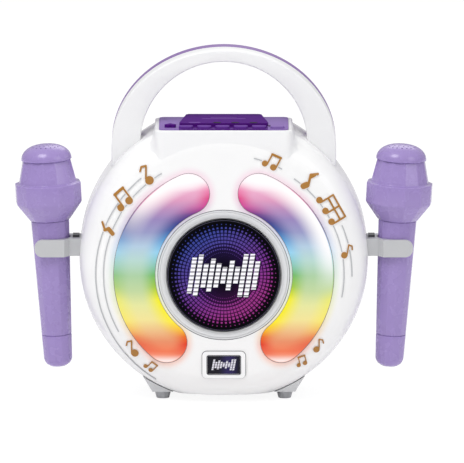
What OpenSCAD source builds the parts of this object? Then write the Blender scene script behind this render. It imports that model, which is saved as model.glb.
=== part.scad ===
// Toy karaoke machine: a drum-shaped cabinet with a round disc tray, two light
// lenses, a key panel on top, a carrying handle and a microphone in a clip on each side.
// X runs to the right, the front faces -Y and Z is up. The table is at z = 0.

/* [Cabinet] */
// Outer radius of the drum
body_r = 111; // [106:1:116]
// Depth of the drum from the front face to the back face
body_d = 94; // [90:1:104]
// Rounding of the front rim
front_round = 24; // [18:1:26]
// Rounding of the back rim
back_round = 14; // [8:1:16]
// Wall of both shells
wall = 2.6; // [2.2:0.1:3]
// Depth at which the back shell meets the front shell
seam_d = 66; // [66:1:70]
// How much smaller the back shell is than the front shell
back_step = 1.2; // [0.6:0.1:2]
// Depth cut off the drum to make its flat underside
base_cut = 6.8; // [5:0.2:8]
// Depth cut off the drum to make its flat top
top_cut = 12.5; // [11:0.5:14]

/* [Feet] */
// Height of the cabinet's flat underside above the table
base_gap = 5.8; // [5.2:0.2:5.8]
// Height of the rubber pads
pad_h = 6; // [5:0.5:7]
// Radius of a pad at the bracket
pad_top_r = 6.5; // [5:0.5:7]
// Radius of a pad at the table
pad_foot_r = 4.9; // [4:0.1:5]
// Distance from the middle to each row of pads
pad_x = 47; // [45:1:48]
// Depth of the front pads behind the front face
pad_front_d = 28; // [25:1:32]
// Depth of the back pads behind the front face
pad_back_d = 74; // [68:1:76]

/* [Disc tray] */
// Distance of the tray's centre below the drum's centre
disc_drop = 9; // [8:1:10]
// Outer radius of the tray
tray_r = 50.4; // [49.5:0.1:50.6]
// Radius of the printed disc
disc_r = 43.5; // [40:0.5:44]
// Thickness of the printed disc
disc_t = 3; // [2.4:0.2:3.6]
// How far the disc stands out of the front face
disc_proud = 1.8; // [1:0.2:2]
// Depth of the tray's well
well_depth = 2; // [1.8:0.1:2.4]
// Gap between the disc's edge and the well
well_gap = 1; // [0.6:0.1:1.4]
// Radius of the hub's drive peg in the back of the disc
peg_r = 4; // [3:0.5:5]
// Depth of the drive peg's socket in the disc
peg_depth = 1.6; // [1.2:0.1:1.7]
// Radius of the hub's flange
hub_r = 8; // [7:0.5:9]
// Radius of the spindle motor
motor_r = 12; // [10:0.5:14]
// Length of the spindle motor
motor_len = 14; // [10:1:15]
// Radius of the motor's shaft
shaft_r = 1.5; // [1:0.25:2]

/* [Light lenses] */
// Gap between the tray and the lenses
lens_gap = 2.5; // [2.4:0.1:2.8]
// Half the width of the lens band
lens_half = 15.7; // [15:0.1:16]
// How far the lens domes out of the front face
lens_rise = 4.5; // [3:0.5:6]
// Angle of the upper end's centre from straight up
lens_top_angle = 22.9; // [21:0.5:26]
// Angle of the lower end's centre from straight down
lens_low_angle = 39.9; // [38:0.1:44]
// Depth of the lens from the front face to its back rim
lens_depth = 9; // [7:0.5:11]
// Width of the lens's clamping flange
lens_flange = 1.4; // [1:0.1:1.6]

/* [Display] */
// Width of the display bezel
bezel_w = 33.2; // [31:0.5:36]
// Height of the display bezel
bezel_h = 20.9; // [19:0.5:22]
// Distance of the display's centre below the tray's centre
bezel_drop = 70; // [69:0.2:72]
// How far the bezel stands out of the front face
bezel_rise = 1.8; // [1.2:0.2:2.4]
// Width of the dark window
window_w = 25.8; // [24:0.2:27]
// Height of the dark window
window_h = 14.8; // [12:0.2:15]

/* [Key panel] */
// Width of the housing's rim at each side of the key panel
house_lip = 3.3; // [3:0.1:4]
// Height of the housing above the drum's flat top
house_rise = 4.5; // [4:0.5:5]
// Depth at which the housing starts
house_front_d = 1; // [0.6:0.2:2]
// Depth at which the housing ends
house_back_d = 64; // [63:0.5:65]
// Radius of the flare where the housing meets the drum
flare_r = 11; // [8:1:12]
// Width of the key panel
panel_w = 99; // [97:0.5:100]
// Depth of the key panel, front to back
panel_len = 57; // [55:1:60]
// Thickness of the key panel
panel_t = 2; // [1.6:0.2:2.4]
// How far the key panel stands above the housing
panel_rise = 0.8; // [0.4:0.2:1.2]
// Height of the raised plate behind the keys
plate_h = 2.6; // [2:0.2:3.2]
// Gap between two keys in the row
key_gap = 3.4; // [3:0.2:4]
// Distance from the panel's side to the middle of the last key and of the heart key
key_margin = 8.5; // [8:0.5:9]
// Distance from the heart key to the first key of the row
heart_room = 12; // [11.5:0.5:13]
// Length of a key, front to back
key_len = 7; // [6:0.5:8]
// How far a key stands above the panel
key_rise = 1.6; // [1.2:0.2:2.4]
// How far the heart key stands above the panel
heart_rise = 2.2; // [1.6:0.2:2.6]
// Travel of a key
key_travel = 0.8; // [0.6:0.1:1]

/* [Handle] */
// Height of the handle's top above the drum's centre
handle_top = 160; // [152:1:168]
// Thickness of the handle at its top
handle_bar = 9; // [8:0.5:12]
// Gap between the housing's flare and the handle's legs
handle_gap = 0.2; // [0.1:0.1:1]
// Width of each leg
handle_leg = 22.4; // [20:0.2:24]
// Depth at which the handle starts
handle_front_d = 33; // [30:1:36]
// Thickness of the handle's white front half
handle_white_t = 20; // [16:1:22]

/* [Microphones] */
// Distance of each microphone's axis from the middle, at the clip
mic_x = 132.7; // [132:0.1:136]
// Depth of the microphones' axes behind the front face
mic_d = 33; // [31:1:36]
// Height of the clips above the drum's centre
clip_up = 8.7; // [6:0.1:10]
// Outward lean of the microphones, in degrees
mic_lean = 3.1; // [0:0.1:3.4]
// Radius of the microphone's barrel at the top
barrel_top_r = 15; // [14:0.2:15.4]
// Radius of the barrel at the end cap
barrel_low_r = 11.8; // [11:0.2:12.4]
// Length of the barrel from the end cap to the head
barrel_len = 89.3; // [86:0.1:92]
// Length of the end cap
cap_len = 25; // [24:0.5:28]
// Radius of the end cap at its foot
cap_r = 11; // [10:0.2:11.4]
// Radius of the head's wide band
band_r = 25.8; // [24:0.2:26.4]
// Length of the head's wide band
band_len = 15.3; // [13:0.1:18]
// Length of the cone under the wide band
cone_len = 14; // [12:0.2:16]
// Length of the narrowing part above the wide band
crown_len = 18.3; // [16:0.1:20]
// Height of the domed grille
dome_h = 11.5; // [10:0.5:13]
// Wall of the microphone's pieces
mic_wall = 1.8; // [1.4:0.1:2.2]
// Height of the clip's fingers
clip_h = 13.4; // [12:0.2:15]
// Thickness of the clip's fingers
clip_t = 3; // [2.4:0.1:3.6]

/* [Fits] */
// Gap around a piece that slides in a hole
slide_gap = 0.2; // [0.15:0.05:0.3]
// Radial gap between a shaft or peg and its bore
run_gap = 0.05; // [0.02:0.01:0.1]
// Gap around a piece that is fixed in a hole
fixed_gap = 0.15; // [0.1:0.05:0.25]

/* [Hidden] */
$fn = 96;

eps = 0.01;
far = 400;

// Places of the whole machine
body_z = base_gap + body_r - base_cut;
front_y = (lens_rise - body_d) / 2;
back_r = body_r - back_step;
crown_y = body_r - top_cut;
top_y = crown_y + house_rise;
base_y = -(body_r - base_cut);
disc_y = -disc_drop;

// Moves the drum's front view into place: x right, y up from the drum's centre,
// z out of the front face towards the viewer, so depths are negative.
module front_view() {
  translate([0, front_y, body_z]) rotate([90, 0, 0]) children();
}

// The same, about the tray's centre
module tray_view() {
  front_view() translate([0, disc_y, 0]) children();
}

// A slab between two depths
module between(d0, d1) {
  translate([0, 0, -d1]) linear_extrude(d1 - d0) children();
}

// A disc or ring shape turned about the tray's or drum's axis: x is radius, y is depth
module turned() {
  mirror([0, 0, 1]) rotate_extrude() children();
}

module rect_round(w, h, r) {
  union() {
    square([w, h - 2 * r], center = true);
    square([w - 2 * r, h], center = true);
    for (sx = [-1, 1], sy = [-1, 1])
      translate([sx * (w / 2 - r), sy * (h / 2 - r)]) circle(r, $fn = 32);
  }
}

// A straight bar with round ends between two points
module bar(a, b, w) {
  v = b - a;
  union() {
    translate(a) rotate(atan2(v[1], v[0])) translate([0, -w / 2]) square([norm(v), w]);
    for (p = [a, b]) translate(p) circle(w / 2, $fn = 24);
  }
}

// Half of a drum's outline: x is radius, y is depth
module drum_outline(r, d0, d1, f, b) {
  union() {
    translate([0, d0 + f]) square([r, d1 - d0 - f - b]);
    if (f > 0) {
      translate([0, d0]) square([r - f, f + eps]);
      translate([r - f, d0 + f]) circle(f);
    }
    if (b > 0) {
      translate([0, d1 - b - eps]) square([r - b, b + eps]);
      translate([r - b, d1 - b]) circle(b);
    }
  }
}

// A drum with a flat underside and a flat top, grown inwards by t
module drum(r, d0, d1, f, b, t) {
  difference() {
    turned() drum_outline(r - t, d0, d1, f, b);
    translate([-far / 2, base_y + t - far, -far / 2]) cube([far, far, far]);
    translate([-far / 2, crown_y - t, -far / 2]) cube([far, far, far]);
  }
}

module front_drum(t = 0) {
  drum(body_r, t, seam_d + (t > 0 ? eps : 0), front_round - t, 0, t);
}

module back_drum(t = 0) {
  drum(back_r, seam_d - (t > 0 ? eps : 0), body_d - t, 0, back_round - t, t);
}

// Screws that hold the two shells: angles and radius about the drum's centre
screw_angles = [28, 152, 208, 244, 296, 332];
screw_ring_r = body_r - 13;
screw_r = 1.5;
screw_head_r = 2.8;
screw_head_t = 2;
boss_r = 3.8;
boss_front_d = front_round + 6;
screw_len = 16;
screw_recess_d = body_d - 7;

module at_screws() {
  for (a = screw_angles) rotate(a) translate([screw_ring_r, 0, 0]) children();
}

// Screw bosses from depth d0 to d1, with ribs that tie them to a side wall of radius r up to depth rib_d
module bosses(r, d0, d1, rib_d) {
  at_screws() {
    between(d0, d1) circle(boss_r, $fn = 32);
    between(d0, rib_d) translate([0, -1]) square([r - wall / 2 - screw_ring_r, 2]);
  }
}

// Lens outline in front view, g wider all round. side is 1 for right, -1 for left.
lens_bend = 180 - lens_top_angle - lens_low_angle;
lens_mid_r = tray_r + lens_gap + lens_half;

module lens_outline(side, g = 0) {
  r0 = lens_mid_r - lens_half - g;
  r1 = lens_mid_r + lens_half + g;
  mirror([side > 0 ? 0 : 1, 0])
    union() {
      intersection() {
        difference() {
          circle(r1);
          circle(r0);
        }
        polygon(concat([[0, 0]], [for (i = [0:8])
          far * [sin(lens_top_angle + lens_bend * i / 8), cos(lens_top_angle + lens_bend * i / 8)]]));
      }
      for (a = [lens_top_angle, 180 - lens_low_angle])
        translate(lens_mid_r * [sin(a), cos(a)]) circle(lens_half + g);
    }
}

// The lens is one loft of levels: each level is the band's outline with half-width h at height z.
lens_skirt = 2;
flange_t = 1.4;
// The flange starts behind the wall's inside, which lies deepest at the lens's lower end.
lens_far_r = norm(lens_mid_r * [sin(lens_low_angle), -cos(lens_low_angle)] + [0, disc_y])
  + lens_half + lens_flange;
flange_d = front_round + fixed_gap
  - sqrt(pow(front_round - wall, 2) - pow(lens_far_r - (body_r - front_round), 2));
dome_curve_r = (lens_half * lens_half + lens_rise * lens_rise) / (2 * lens_rise);
arc_steps = 24;
end_steps = 12;
dome_levels = 5;
dome_top_half = 2;

function band_ring(h) = concat(
  [for (i = [0:arc_steps]) let (a = lens_top_angle + lens_bend * i / arc_steps)
    (lens_mid_r + h) * [sin(a), cos(a)]],
  [for (i = [1:end_steps - 1]) let (a = 180 - lens_low_angle, t = a + 180 * i / end_steps)
    lens_mid_r * [sin(a), cos(a)] + h * [sin(t), cos(t)]],
  [for (i = [arc_steps:-1:0]) let (a = lens_top_angle + lens_bend * i / arc_steps)
    (lens_mid_r - h) * [sin(a), cos(a)]],
  [for (i = [1:end_steps - 1]) let (a = lens_top_angle, t = a + 180 + 180 * i / end_steps)
    lens_mid_r * [sin(a), cos(a)] + h * [sin(t), cos(t)]]);

function dome_height(h) = lens_rise - dome_curve_r + sqrt(dome_curve_r * dome_curve_r - h * h);

lens_levels = concat(
  [[lens_half - lens_skirt, -lens_skirt], [lens_half - lens_skirt, -lens_depth],
    [lens_half, -lens_depth], [lens_half, -flange_d - flange_t],
    [lens_half + lens_flange, -flange_d - flange_t],
    [lens_half + lens_flange, -flange_d], [lens_half, -flange_d]],
  [for (k = [0:dome_levels]) let (h = lens_half + (dome_top_half - lens_half) * k / dome_levels)
    [h, dome_height(h)]]);

// Triangles that fill a ring: strips across the band, then a fan at each end
ring_n = 2 * (arc_steps + end_steps);
ring_fill = let (low = 2 * arc_steps + end_steps) concat(
  [for (i = [0:arc_steps - 1]) each [[i, i + 1, low - i], [i + 1, low - i - 1, low - i]]],
  [for (k = [1:end_steps - 1]) [arc_steps, arc_steps + k, arc_steps + k + 1]],
  [for (k = [1:end_steps - 1]) [low, low + k, (low + k + 1) % ring_n]]);

module loft(levels) {
  n = ring_n;
  m = len(levels);
  points = [for (v = levels) for (p = band_ring(v[0])) [p[0], p[1], v[1]]];
  sides = [for (j = [0:m - 2]) for (i = [0:n - 1]) let (a = j * n + i, b = j * n + (i + 1) % n)
    each [[a, b, a + n], [b, b + n, a + n]]];
  polyhedron(points, concat([for (f = ring_fill) [f[2], f[1], f[0]]], sides,
    [for (f = ring_fill) [for (i = f) (m - 1) * n + i]]));
}

led_board_t = 1.6;
led_size = 3;
led_rise = 1.6;
led_count = 9;

module lens(side) {
  color([0.97, 0.9, 0.95, 0.8])
    tray_view() mirror([side > 0 ? 0 : 1, 0, 0]) loft(lens_levels);
}

module led_board(side) {
  color("ghostwhite")
    tray_view() {
      between(lens_depth, lens_depth + led_board_t) lens_outline(side);
      for (i = [0:led_count - 1]) {
        a = lens_top_angle + lens_bend * i / (led_count - 1);
        mirror([side > 0 ? 0 : 1, 0, 0])
          rotate(90 - a) translate([lens_mid_r, 0, 0])
            between(lens_depth - led_rise, lens_depth + eps) square(led_size, center = true);
      }
    }
}

// Disc tray, hub, motor and disc
well_r = disc_r + well_gap;
tray_wall = 2;
tray_lip = 1.4;
tray_lip_w = 0.8;
disc_front = disc_proud;
disc_back = disc_t - disc_proud;
tray_hole_r = hub_r + 1;
post_x = 34;
post_y = 30;
post_r = 3;
motor_front_d = well_depth + tray_wall + 3;
motor_cup_t = 1.6;
board_d = motor_front_d + motor_len + 6;
board_t = 1.6;
board_w = 84;
board_h = 74;

module disc_tray() {
  color("gainsboro")
    tray_view()
      difference() {
        union() {
          turned() union() {
            square([tray_r, well_depth + tray_wall]);
            translate([0, wall + fixed_gap]) square([tray_r + tray_lip_w, tray_lip]);
          }
          between(well_depth + tray_wall - eps, motor_front_d + motor_len / 2)
            circle(motor_r + motor_cup_t);
          for (sx = [-1, 1], sy = [-1, 1])
            translate([sx * post_x, sy * post_y, 0])
              between(well_depth + tray_wall - eps, board_d) circle(post_r, $fn = 32);
        }
        turned() translate([0, -eps]) square([well_r, well_depth + eps]);
        between(-1, motor_front_d) circle(tray_hole_r);
        between(motor_front_d - eps, far / 2) circle(motor_r);
        turned() translate([well_r + tray_wall, -1]) square([tray_dish_w, 1 + tray_dish]);
        for (sx = [-1, 1], sy = [-1, 1])
          translate([sx * post_x, sy * post_y, 0])
            between(board_d - 8, board_d + eps) circle(1, $fn = 32);
      }
}
// Shallow dish in the tray's light ring
tray_dish = 0.5;
tray_dish_w = tray_r - disc_r - well_gap - tray_wall - 1.2;

hub_back_d = motor_front_d - 0.3;

module spindle_hub() {
  color("dimgray")
    tray_view()
      difference() {
        union() {
          turned() union() {
            translate([0, disc_back]) square([hub_r, hub_back_d - disc_back]);
            translate([0, disc_back - peg_depth + 0.1]) square([peg_r, peg_depth]);
          }
        }
        between(disc_back + 1, hub_back_d + eps) circle(shaft_r + run_gap, $fn = 48);
      }
}

module spindle_motor() {
  color("silver")
    tray_view() turned() union() {
      translate([0, motor_front_d]) square([motor_r - run_gap, motor_len]);
      translate([0, disc_back + 1.2]) square([shaft_r, motor_front_d - disc_back - 1]);
    }
}

module disc() {
  color("black")
    tray_view() turned() difference() {
      translate([0, -disc_front]) square([disc_r, disc_t]);
      translate([-1, disc_back - peg_depth]) square([1 + peg_r + run_gap, peg_depth + 1]);
    }
}

// Cabinet shells
clip_arm_w = 24;
clip_z = clip_up;
clip_plate_t = 2;
arm_in_x = body_r - wall - 4;

// Rectangle of the housing in plan: x across, y as depth
house_w = panel_w + 2 * house_lip;
house_len = house_back_d - house_front_d;
house_d = (house_front_d + house_back_d) / 2;
house_sink = 26;
house_wall = 2.4;
house_round = 6;

// A slab seen from above: x right, y depth behind the front face, heights above the drum's centre
module plan(h0, h1) {
  front_view() rotate([-90, 0, 0]) translate([0, 0, h0]) linear_extrude(h1 - h0) children();
}

module house_plan(g) {
  translate([0, house_d]) rect_round(house_w + 2 * g, house_len + 2 * g, house_round + g);
}

module house_hole() {
  plan(top_y - house_sink, top_y + far) house_plan(-house_wall);
}

// Handle outline in front view
handle_in = house_w / 2 + flare_r + handle_gap;
handle_in_c = 87.6;
handle_out_c = 84;
handle_out = handle_in + handle_leg;
handle_root = 58;
handle_back_d = seam_d;
handle_steps = 48;

function arch(a, b, c) = [for (i = [0:handle_steps])
  [a * cos(180 * i / handle_steps), c + b * sin(180 * i / handle_steps)]];
function backwards(v) = [for (i = [len(v) - 1:-1:0]) v[i]];

module handle_outline(g = 0) {
  polygon(concat(
    [[handle_out + g, handle_root]],
    arch(handle_out + g, handle_top + g - handle_out_c, handle_out_c),
    [[-handle_out - g, handle_root], [-handle_in + g, handle_root]],
    backwards(arch(handle_in - g, handle_top - handle_bar - g - handle_in_c, handle_in_c)),
    [[handle_in - g, handle_root]]));
}

module handle_slots() {
  for (s = [-1, 1])
    front_view() between(handle_front_d - fixed_gap, handle_back_d + eps)
      translate([s * (handle_in + handle_leg / 2) - handle_leg / 2 - fixed_gap, handle_root - fixed_gap])
        square([handle_leg + 2 * fixed_gap, top_y - handle_root]);
}

bezel_y = disc_y - bezel_drop;
bezel_plug = 1.6;
plug_w = window_w + 2 * bezel_plug;
plug_h = window_h + 2 * bezel_plug;

module front_shell() {
  color("white")
    difference() {
      front_view()
        difference() {
          union() {
            difference() {
              front_drum();
              front_drum(wall);
            }
            bosses(body_r, boss_front_d, seam_d, seam_d);
          }
          at_screws() between(seam_d - screw_len, seam_d + eps) circle(screw_r, $fn = 32);
          between(-1, wall + 1) translate([0, disc_y]) circle(tray_r + fixed_gap);
          for (s = [-1, 1])
            between(-1, wall + 1) translate([0, disc_y]) lens_outline(s, fixed_gap);
          between(-1, wall + 1) translate([0, bezel_y])
            rect_round(plug_w + 2 * fixed_gap, plug_h + 2 * fixed_gap, 2);
          for (s = [-1, 1])
            between(mic_d - clip_arm_w / 2 - fixed_gap, mic_d + clip_arm_w / 2 + fixed_gap)
              translate([s * body_r, clip_z])
                square([8 * wall, clip_h + 2 * fixed_gap], center = true);
        }
      house_hole();
      handle_slots();
    }
}

// Back shell: speaker hole, battery bay, power switch and charging port
speaker_y = 16;
speaker_r = 40;
speaker_hole_r = 35;
grille_r = 42;
grille_t = 2;
grille_seat = 1;
door_w = 72;
door_h = 26;
door_y = -73;
door_t = 2;
bay_wall = 2;
cell_r = 9.2;
cell_len = 65;
bay_front_d = body_d - wall - 2 * cell_r - 3;
cell_d = bay_front_d + bay_wall + cell_r + 0.1;
door_ledge = 1.2;
port_x = -60;
port_y = -36;
port_w = 9;
port_h = 3.4;
port_len = 8;
switch_x = 60;
switch_y = -36;
switch_pit_w = 16;
switch_pit_h = 9;
switch_pit_d = 1.6;
slider_w = 5;
slider_h = 4;
switch_travel = 4;
slider_rise = 1.3;

module back_shell() {
  color("whitesmoke")
    difference() {
      front_view()
        difference() {
          union() {
            difference() {
              back_drum();
              back_drum(wall);
            }
            bosses(back_r, seam_d, body_d - wall + 0.5, body_d - back_round);
            translate([0, door_y]) between(bay_front_d, body_d - wall + eps)
              difference() {
                square([door_w + 2 * bay_wall, door_h + 2 * bay_wall], center = true);
                square([door_w - 2 * door_ledge, door_h - 2 * door_ledge], center = true);
              }
            translate([0, door_y]) between(bay_front_d, bay_front_d + bay_wall)
              square([door_w, door_h], center = true);
            translate([0, speaker_y]) between(body_d - wall - 2, body_d - wall + eps)
              difference() {
                circle(speaker_r + 2);
                circle(speaker_r + fixed_gap);
              }
            translate([switch_x, switch_y])
              between(body_d - wall - switch_pit_d, body_d - wall + eps)
                square([switch_pit_w + 2 * wall, switch_pit_h + 2 * wall], center = true);
          }
          at_screws() between(seam_d - eps, body_d) circle(screw_r + fixed_gap, $fn = 32);
          at_screws() between(screw_recess_d - screw_head_t, body_d + 1)
            circle(screw_head_r + fixed_gap, $fn = 32);
          translate([0, door_y]) between(body_d - door_t - fixed_gap, body_d + 1)
            square([door_w + 2 * slide_gap, door_h + 2 * slide_gap], center = true);
          translate([0, door_y]) between(body_d - wall - 1, body_d)
            square([door_w - 2 * door_ledge, door_h - 2 * door_ledge], center = true);
          translate([0, speaker_y]) {
            between(body_d - grille_seat, body_d + 1) circle(grille_r + fixed_gap);
            between(body_d - wall - 1, body_d + 1) circle(speaker_hole_r);
          }
          translate([port_x, port_y]) between(body_d - wall - 1, body_d + 1)
            square([port_w + 2 * fixed_gap, port_h + 2 * fixed_gap], center = true);
          translate([switch_x, switch_y]) {
            between(body_d - switch_pit_d, body_d + 1)
              square([switch_pit_w, switch_pit_h], center = true);
            between(body_d - wall - switch_pit_d - 1, body_d + 1)
              square([switch_travel + slider_w + 2 * slide_gap, slider_h + 2 * slide_gap], center = true);
          }
        }
      house_hole();
    }
}

// Key panel housing. Heights are above the drum's centre.
flare_steps = 10;
panel_d = house_front_d + 2.4 + panel_len / 2;
panel_round = 4;
panel_ledge = 1.5;
board_gap = 1.2;
key_y = house_front_d + 8.6;
tub_wall = 1.6;
ledge_t = 2;
ledge_w = 2.5;
board_front_d = house_front_d + house_wall + tub_wall + 0.3;
board_len = 50;
key_board_w = house_w - 2 * (house_wall + tub_wall) - 1;
key_stack = 3.4;
ledge_top = top_y - house_wall - board_gap - key_stack;

// Side outline of the flare: straight above, a quarter round below
function flare(x0, sx) = [for (i = [0:flare_steps])
  [x0 + sx * flare_r * (1 - cos(90 * i / flare_steps)), top_y - 2 - flare_r * sin(90 * i / flare_steps)]];

module house_side_skirt() {
  for (s = [-1, 1])
    front_view() between(front_round + 2, house_back_d - 2 * house_round)
      translate([s * (house_w / 2 - 1), 0])
        mirror([s > 0 ? 0 : 1, 0])
          polygon(concat([[0, top_y - 2]], [for (p = flare(1, 1)) p],
            [[1 + flare_r, top_y - flare_r - 6], [0, top_y - flare_r - 6]]));
}

module top_housing() {
  color("white")
    difference() {
      union() {
        // The part above the drum, and the tub that drops into the shells' opening
        difference() {
          plan(top_y - house_sink, top_y) house_plan(0);
          difference() {
            front_view() union() {
              front_drum();
              back_drum();
            }
            house_hole();
          }
          plan(top_y - house_sink - 1, top_y - house_wall) house_plan(-house_wall - tub_wall);
        }
        difference() {
          house_side_skirt();
          front_view() turned() drum_outline(body_r, 0, body_d, front_round, 0);
        }
        // Ledge that carries the key board
        difference() {
          plan(ledge_top - ledge_t, ledge_top) house_plan(-house_wall - tub_wall + eps);
          plan(top_y - house_sink - 1, top_y)
            translate([0, board_front_d + board_len / 2])
              square([key_board_w - 2 * ledge_w, board_len - 2 * ledge_w], center = true);
        }
      }
      plan(top_y - panel_t + panel_rise, top_y + 1) translate([0, panel_d])
        rect_round(panel_w + 2 * fixed_gap, panel_len + 2 * fixed_gap, panel_round);
      plan(top_y - house_wall - 1, top_y + 1) translate([0, panel_d])
        rect_round(panel_w - 2 * panel_ledge, panel_len - 2 * panel_ledge, panel_round);
    }
}
heart_x = key_margin - panel_w / 2;
heart_d = house_front_d + 13;
key_pitch = (panel_w / 2 - key_margin - heart_x - heart_room) / 5;
key_w = key_pitch - key_gap;

module heart(s) {
  union() {
    for (k = [-1, 1]) translate([k * s * 0.46, s * 0.35]) circle(s * 0.58, $fn = 48);
    polygon([[-s * 0.96, s * 0.08], [0, -s], [s * 0.96, s * 0.08], [0, s * 0.5]]);
  }
}
heart_size = 4.2;

function key_x(i) = heart_x + heart_room + i * key_pitch;

module key_outline(g = 0) {
  rect_round(key_w + 2 * g, key_len + 2 * g, 2.6 + g);
}

// Plate outline in plan, from the front edge to the back edge
plate_front_d = key_y + key_len / 2 + 2.4;
plate_back_d = panel_d + panel_len / 2 - 1.5;
plate_half = panel_w / 2 - 15.5;
plate_lean = 5;
plate_nose = 4;
plate_chamfer = 2;

module plate_outline() {
  half = [[plate_half - plate_chamfer / 2, plate_front_d], [plate_half, plate_front_d + plate_nose],
    [plate_half - plate_lean, plate_back_d - plate_chamfer],
    [plate_half - plate_lean - plate_chamfer, plate_back_d]];
  polygon(concat(half, [for (i = [3:-1:0]) [-half[i][0], half[i][1]]]));
}

panel_top = top_y + panel_rise;
icon_d = plate_front_d + 2.2;
icon_sink = 0.4;
icon_w = 6;
icon_len = 1.8;

// Dark ovals behind the keys: three on the plate, the last one beside it on the panel
module icon_outline(i) {
  translate([key_x(i + 1.7), icon_d]) rect_round(icon_w, icon_len, icon_len / 2 - 0.05);
}

module key_panel() {
  color([0.55, 0.44, 0.68])
    difference() {
      plan(panel_top - panel_t, panel_top) translate([0, panel_d])
        rect_round(panel_w, panel_len, panel_round);
      for (i = [0:5])
        plan(panel_top - panel_t - 1, panel_top + 1)
          translate([key_x(i), key_y]) key_outline(slide_gap);
      plan(panel_top - panel_t - 1, panel_top + 1)
        translate([heart_x, heart_d]) mirror([0, 1]) heart(heart_size + slide_gap);
      plan(panel_top - icon_sink, panel_top + 1) icon_outline(3);
    }
}

module key_plate() {
  color([0.36, 0.14, 0.52])
    difference() {
      plan(panel_top, panel_top + plate_h) plate_outline();
      for (i = [0:2])
        plan(panel_top + plate_h - icon_sink, panel_top + plate_h + 1) icon_outline(i);
    }
}

key_foot_t = 1;
key_foot = 0.8;

// A key: its cap above the panel, its foot below it
module key(i) {
  color([0.42, 0.2, 0.58])
    union() {
      plan(panel_top - panel_t - key_foot_t - 0.05, panel_top + key_rise)
        translate([key_x(i), key_y]) key_outline();
      plan(panel_top - panel_t - key_foot_t - 0.05, panel_top - panel_t - 0.05)
        translate([key_x(i), key_y]) key_outline(key_foot);
    }
}

module heart_key() {
  color([0.35, 0.14, 0.5])
    union() {
      plan(panel_top - panel_t - key_foot_t - 0.05, panel_top + heart_rise)
        translate([heart_x, heart_d]) mirror([0, 1]) heart(heart_size);
      plan(panel_top - panel_t - key_foot_t - 0.05, panel_top - panel_t - 0.05)
        translate([heart_x, heart_d]) circle(heart_size + key_foot, $fn = 48);
    }
}

key_low = panel_top - panel_t - key_foot_t - 0.05;
key_board_top = ledge_top + board_t;
switch_w = 4;
switch_top = key_low - key_travel - 0.1;

module key_board() {
  color("seagreen")
    union() {
      plan(ledge_top, key_board_top) translate([0, board_front_d + board_len / 2])
        square([key_board_w, board_len], center = true);
      for (i = [0:5])
        plan(key_board_top - eps, switch_top) translate([key_x(i), key_y]) square(switch_w, center = true);
      plan(key_board_top - eps, switch_top) translate([heart_x, heart_d]) square(switch_w, center = true);
    }
}

module handle_front() {
  color("white")
    front_view() between(handle_front_d, handle_front_d + handle_white_t) handle_outline();
}

module handle_back() {
  color([0.6, 0.5, 0.72])
    front_view() between(handle_front_d + handle_white_t, handle_back_d) handle_outline();
}

// Display
window_sink = 0.8;
window_t = 1.4;

module display_bezel() {
  color("white")
    front_view() translate([0, bezel_y])
      difference() {
        union() {
          between(-bezel_rise, 0) rect_round(bezel_w, bezel_h, 3.5);
          between(-eps, wall + 2) rect_round(plug_w, plug_h, 2);
        }
        between(window_sink - bezel_rise, far / 2)
          square([window_w + 2 * fixed_gap, window_h + 2 * fixed_gap], center = true);
        between(-bezel_rise - 1, window_sink - bezel_rise + eps)
          square([window_w - 0.6, window_h - 0.6], center = true);
      }
}

module display_window() {
  color("black")
    front_view() translate([0, bezel_y])
      between(window_sink - bezel_rise, window_sink - bezel_rise + window_t)
        square([window_w, window_h], center = true);
}

module display_board() {
  color("seagreen")
    front_view() translate([0, bezel_y]) union() {
      between(wall + 2, wall + 2 + board_t) square([plug_w + 4, plug_h + 2], center = true);
      between(window_sink - bezel_rise + window_t, wall + 2 + eps)
        square([window_w - 1, window_h - 1], center = true);
    }
}

can_r = 4;
can_h = 9;
chip_w = 18;
chip_t = 2;
plug_len = 14;
plug_rise = 5;

module main_board() {
  face_d = board_d + board_t;
  color("seagreen")
    tray_view()
      difference() {
        union() {
          between(board_d, face_d) square([board_w, board_h], center = true);
          for (x = [-0.3, -0.1, 0.12])
            translate([x * board_w, -0.27 * board_h, 0]) between(face_d - eps, face_d + can_h)
              circle(can_r, $fn = 32);
          between(face_d - eps, face_d + chip_t)
            translate([0.05 * board_w, 0.14 * board_h]) square(chip_w, center = true);
          between(face_d - eps, face_d + plug_rise)
            translate([-0.36 * board_w, 0.3 * board_h]) square([0.6 * plug_len, plug_len], center = true);
        }
        for (sx = [-1, 1], sy = [-1, 1])
          translate([sx * post_x, sy * post_y, 0])
            between(board_d - 1, board_d + board_t + 1) circle(1.3, $fn = 32);
      }
}

// Microphone clips. The fork's slot fits the barrel at the clip's upper edge.
clip_to_cap = 69.8;
barrel_r_at_clip = barrel_low_r
  + (barrel_top_r - barrel_low_r) * (clip_to_cap + clip_h / 2) / barrel_len;
fork_r = barrel_r_at_clip + 0.35;
fork_w = fork_r + clip_t;
fork_bend = fork_r - 4.8;
fork_neck = fork_r - 1;
fork_end = 12.6;
lock_t = 1.8;
finger_round = 6;

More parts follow.
